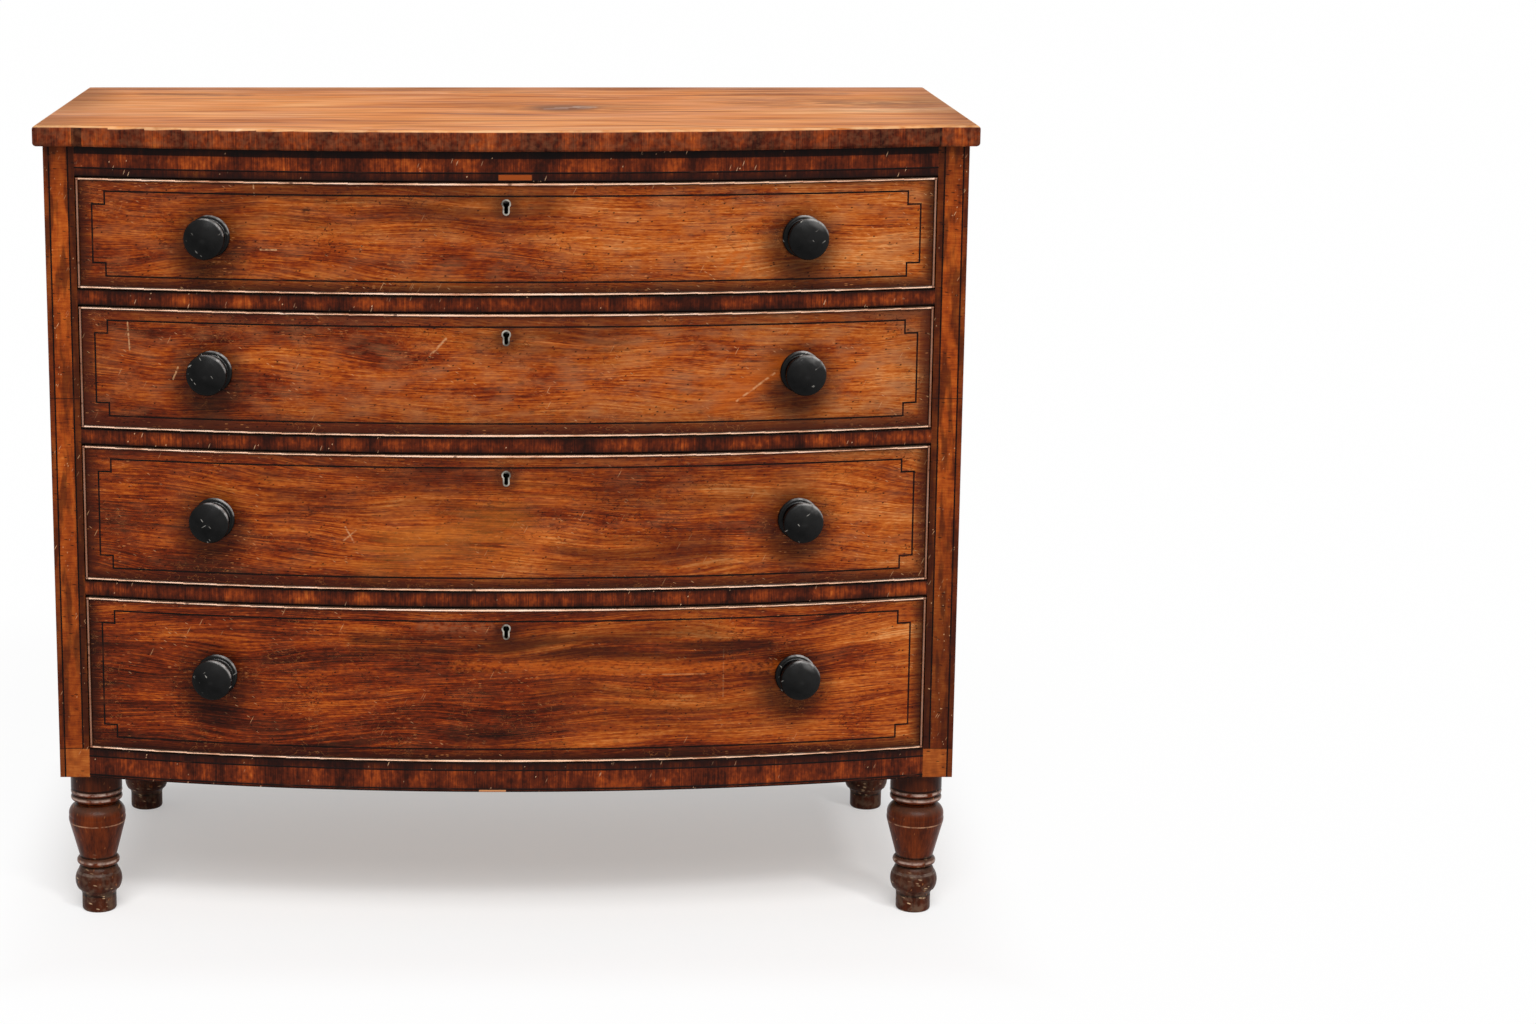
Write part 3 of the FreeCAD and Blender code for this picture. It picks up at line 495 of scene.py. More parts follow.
    patina = streaks(tree, place, (120, 60, 120), number + 90, detail=3.0)
    roughness = add(tree, "MapRange", (patina, 0.3, 0.7, 0.28, 0.46))
    height = layered_tone(tree, 0.5, [(fine, 0.25), (patina, 0.6)])
    dents = add(tree, "Math", (pores, -0.35, height), operation="MULTIPLY_ADD")
    return surface(material, colour, roughness, dents, 0.35)


# Mahogany crossbanding on the rails. The grain stands upright in short veneers of uneven tone, from
# nearly black to red-orange, with dark joints between them.
BAND_STOPS = ((0.0, "#120402"), (0.3, "#321006"), (0.55, "#58200b"), (0.8, "#8c3b12"), (1.0, "#b56124"))

# Dark strips, repairs and a painted shadow under the top on the top and bottom rails, in millimetres:
# the heights of the shadow and of a strip, and middles and half sizes, up from the rail's lower edge
# and across
UNDER_TOP_SHADOW = 9.2
BOTTOM_RAIL_STRIP = 9.0
NEW_VENEER = ((4.5, 10.0), (3.4, 19.0))
BROKEN_EDGE = ((1.6, -16.0), (1.6, 16.0))


def crossband_colour(tree, place, seed, veneer, middle, contrast):
    """The colour of crossbanding and its fine grain, from veneers about this wide that differ this much."""
    run = add(tree, "SeparateXYZ", (place,)).node.outputs["Y"]
    veneers = add(tree, "Math", (run, 1 / veneer, 31.7 * seed), operation="MULTIPLY_ADD")
    inputs = {"W": veneers, "Scale": 1.0}
    lot = add(tree, "TexVoronoi", inputs, out="Color", voronoi_dimensions="1D")
    fine = streaks(tree, place, (30, 1.3, 30), seed + 1, detail=2.0)
    layers = [
        (add(tree, "SeparateColor", (lot,)), contrast),
        (streaks(tree, place, (60, 34, 40), seed + 2, detail=4.0), 1.3),
        (streaks(tree, place, (30, 6, 40), seed + 3, detail=3.0), 0.35),
        (streaks(tree, place, (6, 5, 9), seed + 4, detail=3.0), 0.6),
        (fine, 0.55),
    ]
    tone = layered_tone(tree, middle, layers)
    colour = add(tree, "ValToRGB", (tone,), stops=BAND_STOPS)
    joint = add(tree, "TexVoronoi", inputs, voronoi_dimensions="1D", feature="DISTANCE_TO_EDGE")
    joint = add(tree, "MapRange", (joint, 0.7 / veneer, 0.3 / veneer))
    return painted(tree, colour, [(joint, "#120504", 0.5)]), fine


def crossbanded_rail(name, tone=0.53, repairs_and_shadow=()):
    """Crossbanding on one rail, darker at its edges, with painted shade in the gaps along them. Repairs
    and painted shadows are (middle, half size, colour, strength).
    """
    material, tree = new_material(f"mahogany_crossband_{name}")
    low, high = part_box(name)
    place = grain_place(tree, "ZXY")
    colour, fine = crossband_colour(tree, place, low.z * 10, 46.0, tone, 0.12)
    middle = ((low.z + high.z) / 2 / MM, 0)
    half = ((high.z - low.z) / 2 / MM, CASE_HALF / MM)
    edge = edge_distance(tree, place, middle, half)
    darker_at_edges = add(tree, "MapRange", (edge, 8.0, 0.5), **SOFT)
    # Painted shade in the gaps along the edges of the rail
    seam = add(tree, "MapRange", (edge, 1.8, 0.8))
    coats = [(darker_at_edges, "#0d0402", 0.6), (seam, "#060201", 0.9)]
    for centre, size, code, strength in repairs_and_shadow:
        inside = edge_distance(tree, place, centre, size)
        inside = add(tree, "MapRange", (inside, 0.0, 0.8))
        coats.append((inside, code, strength))
    soft, rubbed = worn_edges(tree, 1.2, 6)
    chips = dashes(tree, place, (3.0, 1.8), 0.008, 0.4, 7)
    hairs = dashes(tree, place, (9.0, 1.1), 0.010, 0.35, 8)
    marks = clustered(tree, place, 45.0, 9, hairs, chips)
    coats += [(rubbed, "#6d3a20", 0.3), (marks, "#d9ab84", 0.7)]
    return surface(material, painted(tree, colour, coats), 0.4, fine, 0.12, soft)


# Mahogany stiles. A band of orange-brown lies between two narrow dark strips, and a lighter block of
# newer wood stands at the foot of each, level with the bottom rail. A dark joint crosses each above its
# middle. They carry painted shade under the top, and darken, more on the right, between two levels.
# All is in millimetres.
STILE_JOINT = 628.0
STILE_SHADE = 75.0
STILE_DARK = (540.0, 330.0)
STILE_STOPS = ((0.0, "#2a0b03"), (0.3, "#632308"), (0.55, "#8f3c0d"), (0.8, "#aa5318"), (1.0, "#c07132"))
BLOCK_STOPS = ((0.0, "#4c1e09"), (0.5, "#8c4417"), (1.0, "#b66c2e"))


def crossbanded_stile():
    material, tree = new_material("mahogany_stile")
    place = grain_place(tree, "ZXY")
    axes = add(tree, "SeparateXYZ", (place,)).node.outputs
    fine = streaks(tree, place, (1.5, 18, 20), 21)
    layers = [
        (streaks(tree, place, (120, 26, 40), 22, detail=4.0), 0.8),
        (streaks(tree, place, (13, 8, 20), 23, detail=4.0), 0.7),
        (fine, 0.6),
    ]
    tone = layered_tone(tree, 0.58, layers)
    old_wood = add(tree, "ValToRGB", (tone,), stops=STILE_STOPS)
    new_wood = add(tree, "ValToRGB", (tone,), stops=BLOCK_STOPS)
    above = add(tree, "Math", (axes["X"], LOWEST_OPENING / MM), operation="GREATER_THAN")
    colour = add(tree, "Mix", {"Factor": above, "A": new_wood, "B": old_wood}, data_type="RGBA")

    from_middle = add(tree, "Math", (axes["Y"],), operation="ABSOLUTE")
    outer_start = CASE_HALF / MM - STILE_OUTER_LINE
    outer = add(tree, "MapRange", (from_middle, outer_start, outer_start + 0.8))
    inner_end = OPENING_HALF / MM + STILE_INNER_LINE
    inner = add(tree, "MapRange", (from_middle, inner_end, inner_end - 0.8))
    coats = [(outer, "#381207", 0.55), (inner, above, "#1d0904", 0.7)]
    for level in (LOWEST_OPENING / MM, STILE_JOINT):
        joint = add(tree, "Math", (axes["X"], level, 0.7), operation="COMPARE")
        coats.append((joint, "#1a0804", 0.7))
    smudges = patches(tree, place, (60, 12, 20), 28, 0.46, 0.58, detail=5.0)
    # Painted shade under the overhang of the top
    shade = add(tree, "MapRange", (axes["X"], CASE_TOP / MM - STILE_SHADE, CASE_TOP / MM))
    darker = add(tree, "MapRange", (axes["X"], *STILE_DARK))
    right = add(tree, "MapRange", (axes["Y"], -CASE_HALF / MM, CASE_HALF / MM, 0.4, 1.0))
    soft, rubbed = worn_edges(tree, 1.6, 24)
    cracks = dashes(tree, place, (2.2, 7.0), 0.04, 0.1, 27)
    hairs = dashes(tree, place, (9.0, 1.1), 0.02, 0.5, 25)
    chips = dashes(tree, place, (2.6, 1.6), 0.02, 0.2, 26)
    coats += [
        (smudges, above, "#2a0d05", 0.65),
        (shade, "#260c05", 0.5),
        (darker, right, above, "#2a0c06", 0.65),
        (rubbed, "#7d4022", 0.6),
        (cracks, "#140502", 0.75),
        (clustered(tree, place, 40.0, 29, hairs, chips), "#d8a679", 0.6),
    ]
    return surface(material, painted(tree, colour, coats), 0.42, fine, 0.15, soft)


# The top board. Sun-faded golden mahogany above, with long dark and pale streaks and an old ring of
# dark stain, and upright crossbanding round its edge under a rubbed pale arris. Marks are given as
# (start, end, width, colour, strength) in millimetres across the chest and towards its back.
TOP_STOPS = ((0.0, "#4e210b"), (0.25, "#914a1c"), (0.5, "#ca783a"), (0.72, "#de8f4e"), (1.0, "#edb27a"))
STAIN_PLACE = (66.0, -8.0)
TOP_MARKS = (
    ((60, -2), (86, 3), 4.0, "#f6ebdf", 0.75),
    ((82, 9), (106, 5), 4.5, "#f6ebdf", 0.7),
    ((46, -18), (72, -15), 3.5, "#f6ebdf", 0.6),
    ((86, -10), (100, -6), 3.0, "#f6ebdf", 0.55),
    ((20, 24), (120, -4), 90.0, "#7a4422", 0.4),
    ((330, 70), (490, 30), 130.0, "#7a4422", 0.45),
    ((-445, 176), (-335, 166), 26.0, "#5a3320", 0.6),
    ((405, 60), (480, 42), 44.0, "#6b3c20", 0.5),
    ((250, 168), (420, 182), 20.0, "#6b3c20", 0.45),
    ((-60, 196), (60, 200), 16.0, "#6b3c20", 0.4),
)


def top_edge(tree):
    """The crossbanding round the edge of the top, with a dark joint near each corner and a dark block."""
    place = grain_place(tree, "ZXY")
    banding = crossband_colour(tree, place, 38, 34.0, 0.54, 0.12)[0]
    across = add(tree, "SeparateXYZ", (place,)).node.outputs["Y"]
    from_middle = add(tree, "Math", (across,), operation="ABSOLUTE")
    corner = add(tree, "Math", (from_middle, OPENING_HALF / MM, 0.9), operation="COMPARE")
    block = add(tree, "Math", (across, -OPENING_HALF / MM + 6.0, 5.0), operation="COMPARE")
    corner = add(tree, "Math", (corner, block), operation="MAXIMUM")
    dull = patches(tree, place, (6, 7, 9), 47, 0.42, 0.66, detail=4.0)
    return painted(tree, banding, [(corner, "#0c0402", 0.85), (dull, "#7a4a30", 0.35)])


def faded_top():
    material, tree = new_material("mahogany_faded_top")
    place = grain_place(tree, "XYZ")
    waves = [((330, 90, 100), 55.0, 31), ((170, 90, 60), 22.0, 49)]
    grain = wavering(tree, place, waves, deep=False)
    fine = streaks(tree, grain, (110, 8, 20), 32, detail=4.0)
    bands = streaks(tree, grain, (320, 24, 40), 34, detail=4.0)
    broad = streaks(tree, grain, (420, 110, 40), 33, detail=4.0)
    tone = layered_tone(tree, 0.57, [(broad, 1.0), (bands, 0.95), (fine, 0.85)])
    colour = add(tree, "ValToRGB", (tone,), stops=TOP_STOPS)
    lines = streaks(tree, grain, (240, 7, 40), 48, detail=3.0)
    dark_lines = add(tree, "MapRange", (lines, 0.43, 0.35))
    pale_lines = add(tree, "MapRange", (lines, 0.58, 0.68))
    half = (TOP_HALF / MM, (TOP_BACK - CASE_FRONT) / MM)
    edge = edge_distance(tree, place, (0, CASE_FRONT / MM), half)
    dim = add(tree, "MapRange", (edge, 95.0, 0.0), **SOFT)
    mottle = streaks(tree, grain, (150, 60, 60), 35, detail=2.0)
    stain = spot_distance(tree, place, [STAIN_PLACE])
    stain = add(tree, "Math", (bands, -70.0, stain), operation="MULTIPLY_ADD")
    stain = add(tree, "MapRange", (stain, 22.0, -18.0), **SOFT)
    scuffs = dashes(tree, place, (24.0, 2.6), 0.02, 0.1, 36)
    coats = [
        (dark_lines, "#7c4420", 0.5),
        (pale_lines, "#f2c796", 0.4),
        (dim, mottle, "#4e2612", 0.9),
        (stain, "#3b2a2a", 0.7),
        (clustered(tree, place, 90.0, 46, scuffs), "#f0dcc4", 0.45),
    ]
    broken = patches(tree, place, (30, 9, 9), 37, 0.34, 0.54, detail=3.0)
    for start, end, width, code, strength in TOP_MARKS:
        coats.append((stroke(tree, place, start, end, width), broken, code, strength))
    colour = painted(tree, colour, coats)

    lift = facing(tree, "Z")
    upper = add(tree, "MapRange", (lift, 0.45, 0.62))
    inputs = {"Factor": upper, "A": top_edge(tree), "B": colour}
    colour = add(tree, "Mix", inputs, data_type="RGBA")
    arris = add(tree, "MapRange", (lift, 0.42, 0.62))
    tilted = add(tree, "MapRange", (lift, 0.995, 0.93))
    worn = patches(tree, place, (20, 20, 20), 39, 0.32, 0.56, detail=4.0)
    colour = painted(tree, colour, [(arris, tilted, worn, "#e8b988", 0.6)])
    roughness = add(tree, "MapRange", (mottle, 0.3, 0.7, 0.5, 0.68))
    return surface(material, colour, roughness, fine, 0.15)


# Flat-sawn mahogany side panels. Tall nested arches of grain stand in the middle and wavy upright lines
# at the edges, brown with lighter pinkish lines between. The arches' sizes are in millimetres.
SIDE_STOPS = ((0.0, "#260a03"), (0.35, "#50200a"), (0.6, "#763815"), (0.82, "#985428"), (1.0, "#c48a5a"))
ARCH_HEIGHT = 420.0
ARCH_WIDTH = 90.0
ARCH_SWAY = 70.0


def arched_side():
    material, tree = new_material("mahogany_arched_side")
    place = grain_place(tree, "ZYX")
    axes = add(tree, "SeparateXYZ", (place,)).node.outputs
    waver = streaks(tree, place, (230, 110, 300), 41, detail=1.0)
    heart = add(tree, "Math", (axes["Y"], CASE_MIDDLE / MM + ARCH_SWAY / 2), operation="SUBTRACT")
    heart = add(tree, "Math", (waver, ARCH_SWAY, heart), operation="MULTIPLY_ADD")
    heart = add(tree, "Math", (heart, 1 / ARCH_WIDTH), operation="MULTIPLY")
    arch = add(tree, "Math", (heart, heart), operation="MULTIPLY")
    ring = add(tree, "Math", (axes["X"], 1 / ARCH_HEIGHT, arch), operation="MULTIPLY_ADD")
    growth = {"W": ring, "Scale": 11.0, "Detail": 3.0}
    growth = add(tree, "TexNoise", growth, noise_dimensions="1D")
    fine = streaks(tree, place, (90, 1.5, 30), 42)
    layers = [
        (growth, 0.75),
        (streaks(tree, place, (260, 60, 100), 43, detail=3.0), 0.6),
        (streaks(tree, place, (160, 5, 30), 44, detail=2.0), 0.4),
        (fine, 0.45),
    ]
    tone = layered_tone(tree, 0.55, layers)
    colour = add(tree, "ValToRGB", (tone,), stops=SIDE_STOPS)
    middle = ((CASE_BOTTOM + CASE_TOP) / 2 / MM, CASE_MIDDLE / MM)
    half = ((CASE_TOP - CASE_BOTTOM) / 2 / MM, (CASE_BACK - CASE_FRONT) / 2 / MM)
    edge = edge_distance(tree, place, middle, half)
    darker_at_edges = add(tree, "MapRange", (edge, 60.0, 0.0), **SOFT)
    soft, rubbed = worn_edges(tree, 1.6, 45)
    pores = dashes(tree, place, (9.0, 1.0), 0.10, 0.0, 46)
    hairs = dashes(tree, place, (18.0, 1.1), 0.006, 0.9, 47)
    coats = [
        (darker_at_edges, "#1f0b05", 0.6),
        (rubbed, "#8a5330", 0.5),
        (pores, "#2a1008", 0.5),
        (clustered(tree, place, 70.0, 48, hairs), "#c99b76", 0.45),
    ]
    height = add(tree, "Math", (pores, -0.5, fine), operation="MULTIPLY_ADD")
    return surface(material, painted(tree, colour, coats), 0.42, height, 0.2, soft)


# The base band along the foot of each side: level grain, a dark joint above it and a patch of lighter
# new wood at its front end, in millimetres.
BAND_JOINT = 1.6
BAND_PATCH = 38.0


def base_band():
    material, tree = new_material("mahogany_base_band")
    low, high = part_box("base_band_right")
    place = grain_place(tree, "YZX")
    fine = streaks(tree, place, (40, 1.6, 20), 171)
    layers = [
        (streaks(tree, place, (150, 10, 40), 172, detail=3.0), 0.6),
        (streaks(tree, place, (60, 40, 60), 173, detail=3.0), 0.4),
        (fine, 0.3),
    ]
    tone = layered_tone(tree, 0.5, layers)
    old_wood = add(tree, "ValToRGB", (tone,), stops=SIDE_STOPS)
    new_wood = add(tree, "ValToRGB", (tone,), stops=BLOCK_STOPS)
    axes = add(tree, "SeparateXYZ", (place,)).node.outputs
    patch_end = low.y / MM + BAND_PATCH
    patch = add(tree, "Math", (axes["X"], patch_end), operation="LESS_THAN")
    colour = add(tree, "Mix", {"Factor": patch, "A": old_wood, "B": new_wood}, data_type="RGBA")
    seam = add(tree, "Math", (axes["X"], patch_end, 0.6), operation="COMPARE")
    joint_start = high.z / MM - BAND_JOINT
    joint = add(tree, "Math", (axes["Y"], joint_start), operation="GREATER_THAN")
    lines = add(tree, "Math", (seam, joint), operation="MAXIMUM")
    soft, rubbed = worn_edges(tree, 1.4, 174)
    coats = [(lines, "#100503", 0.8), (rubbed, "#8a5330", 0.5)]
    return surface(material, painted(tree, colour, coats), 0.42, fine, 0.15, soft)


# Cockbead: thin mahogany strips. Their pale nose on the level runs is partly rubbed wear and partly a
# painted highlight, their flanks get painted shade, and painted shade makes them browner where they
# stand upright. The width of the upright strips, and how far the nose and the flank stand in front of
# the bow, are in millimetres.
BEAD_STOPS = ((0.0, "#743e28"), (0.3, "#bd8262"), (0.6, "#eebe9e"), (1.0, "#fddcc6"))
BEAD_UPRIGHT = 3.2
BEAD_NOSE = 2.32
BEAD_FLANK = 2.0


def rubbed_cockbead(number):
    material, tree = new_material(f"rubbed_cockbead_{number}")
    place = grain_place(tree, "XZY")
    mottle = streaks(tree, place, (55, 40, 40), 50 + number, detail=3.0)
    fine = streaks(tree, place, (12, 1.5, 10), 60 + number)
    tone = layered_tone(tree, 0.62, [(mottle, 1.3), (fine, 0.6)])
    colour = add(tree, "ValToRGB", (tone,), stops=BEAD_STOPS)
    across = add(tree, "SeparateXYZ", (place,)).node.outputs["X"]
    from_middle = add(tree, "Math", (across,), operation="ABSOLUTE")
    upright_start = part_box(f"drawer_{number}_front")[1].x / MM - BEAD_UPRIGHT
    # Painted shade on the upright runs
    upright_shade = add(tree, "Math", (from_middle, upright_start), operation="GREATER_THAN")
    proud = proud_of_bow(tree, place)
    # The pale colour stays as a painted highlight on the nose; painted shade darkens the flanks
    flank_shade = add(tree, "MapRange", (proud, BEAD_NOSE, BEAD_FLANK))
    chips = dashes(tree, place, (7.0, 5.0), 0.02, 0.0, 70 + number)
    coats = [(upright_shade, "#6a3a26", 0.84), (flank_shade, "#120502", 0.92), (chips, "#3a1a0e", 0.7)]
    return surface(material, painted(tree, colour, coats), 0.45, mottle, 0.2)


# Black-stained string inlay: a flush dark line, browned where its stain has gone
STRING_STOPS = ((0.35, "#070302"), (0.6, "#140705"), (0.72, "#3a180a"))


def black_string():
    material, tree = new_material("black_string_inlay")
    mottle = streaks(tree, grain_place(tree, "XZY"), (22, 22, 22), 81, detail=3.0)
    colour = add(tree, "ValToRGB", (mottle,), stops=STRING_STOPS)
    return surface(material, colour, 0.6, mottle, 0.05)


# Ebonised turned knobs: satin black polish with softened rims, a painted highlight and a faint painted
# sheen on their upper right, painted shade in black in the groove behind the head, and nicks through to
# pale wood. The groove is given by its middle and half its width in front of the bow, in millimetres.
KNOB_STOPS = ((0.3, "#030303"), (0.7, "#0b0b0b"))
KNOB_SOFTNESS = 3.5
HIGHLIGHT_SIDE = (0.5, -0.3, 0.81)
KNOB_GROOVE = (13.5, 8.2)


def ebonised_knob(number):
    material, tree = new_material(f"ebonised_turned_knob_{number}")
    place = grain_place(tree, "XZY")
    cloud = streaks(tree, place, (9, 9, 9), 90 + number, detail=4.0)
    colour = add(tree, "ValToRGB", (cloud,), stops=KNOB_STOPS)
    nicks = dashes(tree, place, (8.0, 1.5), 0.03, 0.6, 95 + number)
    ticks = dashes(tree, place, (6.0, 1.4), 0.02, -0.9, 99 + number)
    marks = clustered(tree, place, 14.0, 103 + number, nicks, ticks)
    soft = add(tree, "Bevel", {"Radius": KNOB_SOFTNESS * MM}, samples=8)
    # A faint painted sheen and a painted highlight on the rims, towards the upper right
    toward_highlight = add(tree, "VectorMath", (soft, HIGHLIGHT_SIDE), out="Value", operation="DOT_PRODUCT")
    sheen = add(tree, "MapRange", (toward_highlight, 0.1, 0.75))
    rim = add(tree, "MapRange", (toward_highlight, 0.62, 0.88), **SOFT)
    worn = add(tree, "MapRange", (cloud, 0.4, 0.56, 0.4, 1.0))
    # Painted shade, black in the groove between the flange and the head
    groove = add(tree, "Math", (proud_of_bow(tree, place), *KNOB_GROOVE), operation="COMPARE")
    coats = [
        (marks, "#b9b4ac", 0.7),
        (sheen, "#8a8886", 0.045),
        (rim, worn, "#c4c1be", 0.6),
        (groove, "#010101", 0.95),
    ]
    roughness = add(tree, "MapRange", (cloud, 0.3, 0.7, 0.24, 0.34))
    height = add(tree, "Math", (marks, -1.0, cloud), operation="MULTIPLY_ADD")
    return surface(material, painted(tree, colour, coats), roughness, height, 0.1, soft)


# Turned mahogany feet: dark red-brown polish, with a painted shadow darkest at the collar, dust and a
# painted sheen greying the shoulder and the bulb where they look up, pale crests on the rings that are
# partly rubbed and partly a painted highlight, a rubbed pale arris, painted shade in the grooves, and
# chips and dust towards the floor. Levels are in millimetres above the floor.
FOOT_STOPS = ((0.0, "#120401"), (0.4, "#3a1304"), (0.7, "#66290a"), (1.0, "#94501e"))
# Crests of the rings, pale as partly rubbed wear and partly a painted highlight
FOOT_CRESTS = (149.2, 141.7, 62.6, 47.5)
FOOT_ARRIS = 110.5
# Grooves, darkened with painted shade
FOOT_GROOVES = (152.6, 144.5, 136.2, 67.6, 55.6, 20.0)


def turned_foot():
    material, tree = new_material("turned_mahogany_foot")
    place = grain_place(tree, "ZXY")
    level = add(tree, "SeparateXYZ", (place,)).node.outputs["X"]
    fine = streaks(tree, place, (24, 2.2, 2.2), 111)
    layers = [(streaks(tree, place, (60, 10, 10), 112, detail=3.0), 0.7), (fine, 0.4)]
    tone = layered_tone(tree, 0.52, layers)
    colour = add(tree, "ValToRGB", (tone,), stops=FOOT_STOPS)
    worn = patches(tree, place, (9, 9, 9), 115, 0.36, 0.6, detail=3.0)
    coats = []
    for turning in FOOT_CRESTS + FOOT_GROOVES:
        line = add(tree, "Math", (level, turning), operation="SUBTRACT")
        line = add(tree, "Math", (line,), operation="ABSOLUTE")
        line = add(tree, "MapRange", (line, 2.0, 0.7))
        crest_rub_and_highlight = (line, worn, "#bda496", 0.7)
        coats.append(crest_rub_and_highlight if turning in FOOT_CRESTS else (line, "#0a0402", 0.85))
    arris = add(tree, "Math", (level, FOOT_ARRIS, 0.8), operation="COMPARE")
    # Dust and a painted sheen on the faces that look up
    ledge_dust_and_sheen = add(tree, "MapRange", (facing(tree, "Z"), 0.12, 0.6))
    below = add(tree, "MapRange", (level, 62.0, 50.0))
    # Painted shadow on the collar under the case
    collar_shadow = add(tree, "MapRange", (level, 151.0, 156.0))
    flecks = dashes(tree, place, (5.0, 1.6), 0.03, 0.2, 117)
    low = add(tree, "MapRange", (level, 80.0, 5.0))
    dust = patches(tree, place, (7, 7, 7), 113, 0.44, 0.64, detail=4.0)
    dust = add(tree, "Math", (dust, low), operation="MULTIPLY")
    chips = dashes(tree, place, (2.4, 7.0), 0.16, 0.2, 114)
    coats += [
        (arris, worn, "#b98a6a", 0.6),
        (ledge_dust_and_sheen, "#463329", 0.6),
        (below, "#1e120c", 0.55),
        (collar_shadow, "#190b06", 0.55),
        (clustered(tree, place, 22.0, 118, flecks), "#b06c3c", 0.5),
        (dust, "#74604f", 0.4),
        (clustered(tree, place, 16.0, 116, chips), low, "#dcb890", 0.8),
    ]
    roughness = add(tree, "MapRange", (dust, 0.0, 1.0, 0.3, 0.7))
    return surface(material, painted(tree, colour, coats), roughness, fine, 0.2)


# Aged pine of the linings and the carcase: dry, unpolished, yellow-brown with darker winter lines
def aged_pine(name, order, seed, middle_tone):
    material, tree = new_material(name)
    place = grain_place(tree, order)
    grain = wavering(tree, place, [((320, 70, 120), 55.0, seed)])
    fine = streaks(tree, place, (60, 1.4, 1.4), seed + 1)
    layers = [
        (streaks(tree, grain, (900, 9, 14), seed + 2, detail=2.0), 0.6),
        (streaks(tree, place, (140, 90, 90), seed + 3, detail=3.0), 0.4),
        (fine, 0.25),
    ]
    tone = layered_tone(tree, middle_tone, layers)
    colour = add(tree, "ValToRGB", (tone,), stops=PINE_STOPS)
    stains = patches(tree, place, (190, 70, 90), seed + 6, 0.46, 0.7, detail=3.0)
    knots = dashes(tree, place, (34.0, 20.0), 0.012, 0.0, seed + 4)
    soft, rubbed = worn_edges(tree, 1.2, seed + 5)
    coats = [(stains, "#57361c", 0.4), (knots, "#4b2810", 0.75), (rubbed, "#7b5a38", 0.5)]
    return surface(material, painted(tree, colour, coats), 0.75, fine, 0.25, soft, BARE_WOOD)


# Old metal of the locks: brass gone dull and greyish, with brown tarnish in patches, painted black shade
# inside the keyhole and grey on its thin rim, and filed iron. The rim's depth and the keyhole's zone are
# in millimetres.
RIM_STOPS = ((0.4, "#5f5a53"), (0.62, "#b5afa4"))
RIM_DEPTH = 4.0
KEYHOLE_ZONE = 13.0


def dull_metal(name, bright, dark, roughness, seed, keyhole=None):
    material, tree = new_material(name)
    place = grain_place(tree, "XZY")
    cloud = streaks(tree, place, (8, 8, 8), seed, detail=4.0)
    colour = add(tree, "ValToRGB", (cloud,), stops=((0.36, dark), (0.6, bright)))
    if keyhole:
        depth = add(tree, "SeparateXYZ", (place,)).node.outputs["Z"]
        rim = add(tree, "Math", (depth, BOW_CROWN / MM + RIM_DEPTH), operation="LESS_THAN")
        rim_colour = add(tree, "ValToRGB", (cloud,), stops=RIM_STOPS)
        inputs = {"Factor": rim, "A": colour, "B": rim_colour}
        colour = add(tree, "Mix", inputs, data_type="RGBA")
        near = spot_distance(tree, place, [keyhole])
        near = add(tree, "Math", (near, KEYHOLE_ZONE), operation="LESS_THAN")
        # Painted black shade inside the keyhole
        sunk = add(tree, "MapRange", (depth, BOW_CROWN / MM + 0.3, BOW_CROWN / MM + 1.0))
        shallow = add(tree, "Math", (depth, LOCK_INNER / MM - 2.5), operation="LESS_THAN")
        colour = painted(tree, colour, [(sunk, shallow, near, "#030202", 0.97)])
    filing = streaks(tree, place, (14, 0.7, 0.7), seed + 1)
    rough = add(tree, "MapRange", (cloud, 0.36, 0.6, roughness + 0.25, roughness))
    return surface(material, colour, rough, filing, 0.05, finish=OLD_METAL)


def rail_repairs_and_shadow():
    """The dark strips and repairs of the top rail and of the bottom rail, and the painted shadow under the
    top.
    """
    top_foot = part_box("top_rail")[0].z / MM
    width = OPENING_HALF / MM
    half = UNDER_TOP_SHADOW / 2
    # Painted shadow under the overhang of the top
    under_top_shadow = ((CASE_TOP / MM - half, 0), (half, CASE_HALF / MM), "#060202", 0.9)
    half = TOP_RAIL_LINE / 2
    lower_strip = ((top_foot + half, 0), (half, width), "#150706", 0.7)
    (up, across), size = NEW_VENEER
    new_veneer = ((top_foot + up, across), size, "#9c4818", 0.75)
    half = BOTTOM_RAIL_STRIP / 2
    upper_strip = ((LOWEST_OPENING / MM - half, 0), (half, width), "#120605", 0.65)
    (up, across), size = BROKEN_EDGE
    broken_edge = ((CASE_BOTTOM / MM + up, across), size, "#c08256", 0.9)
    return [under_top_shadow, lower_strip, new_veneer], [upper_strip, broken_edge]


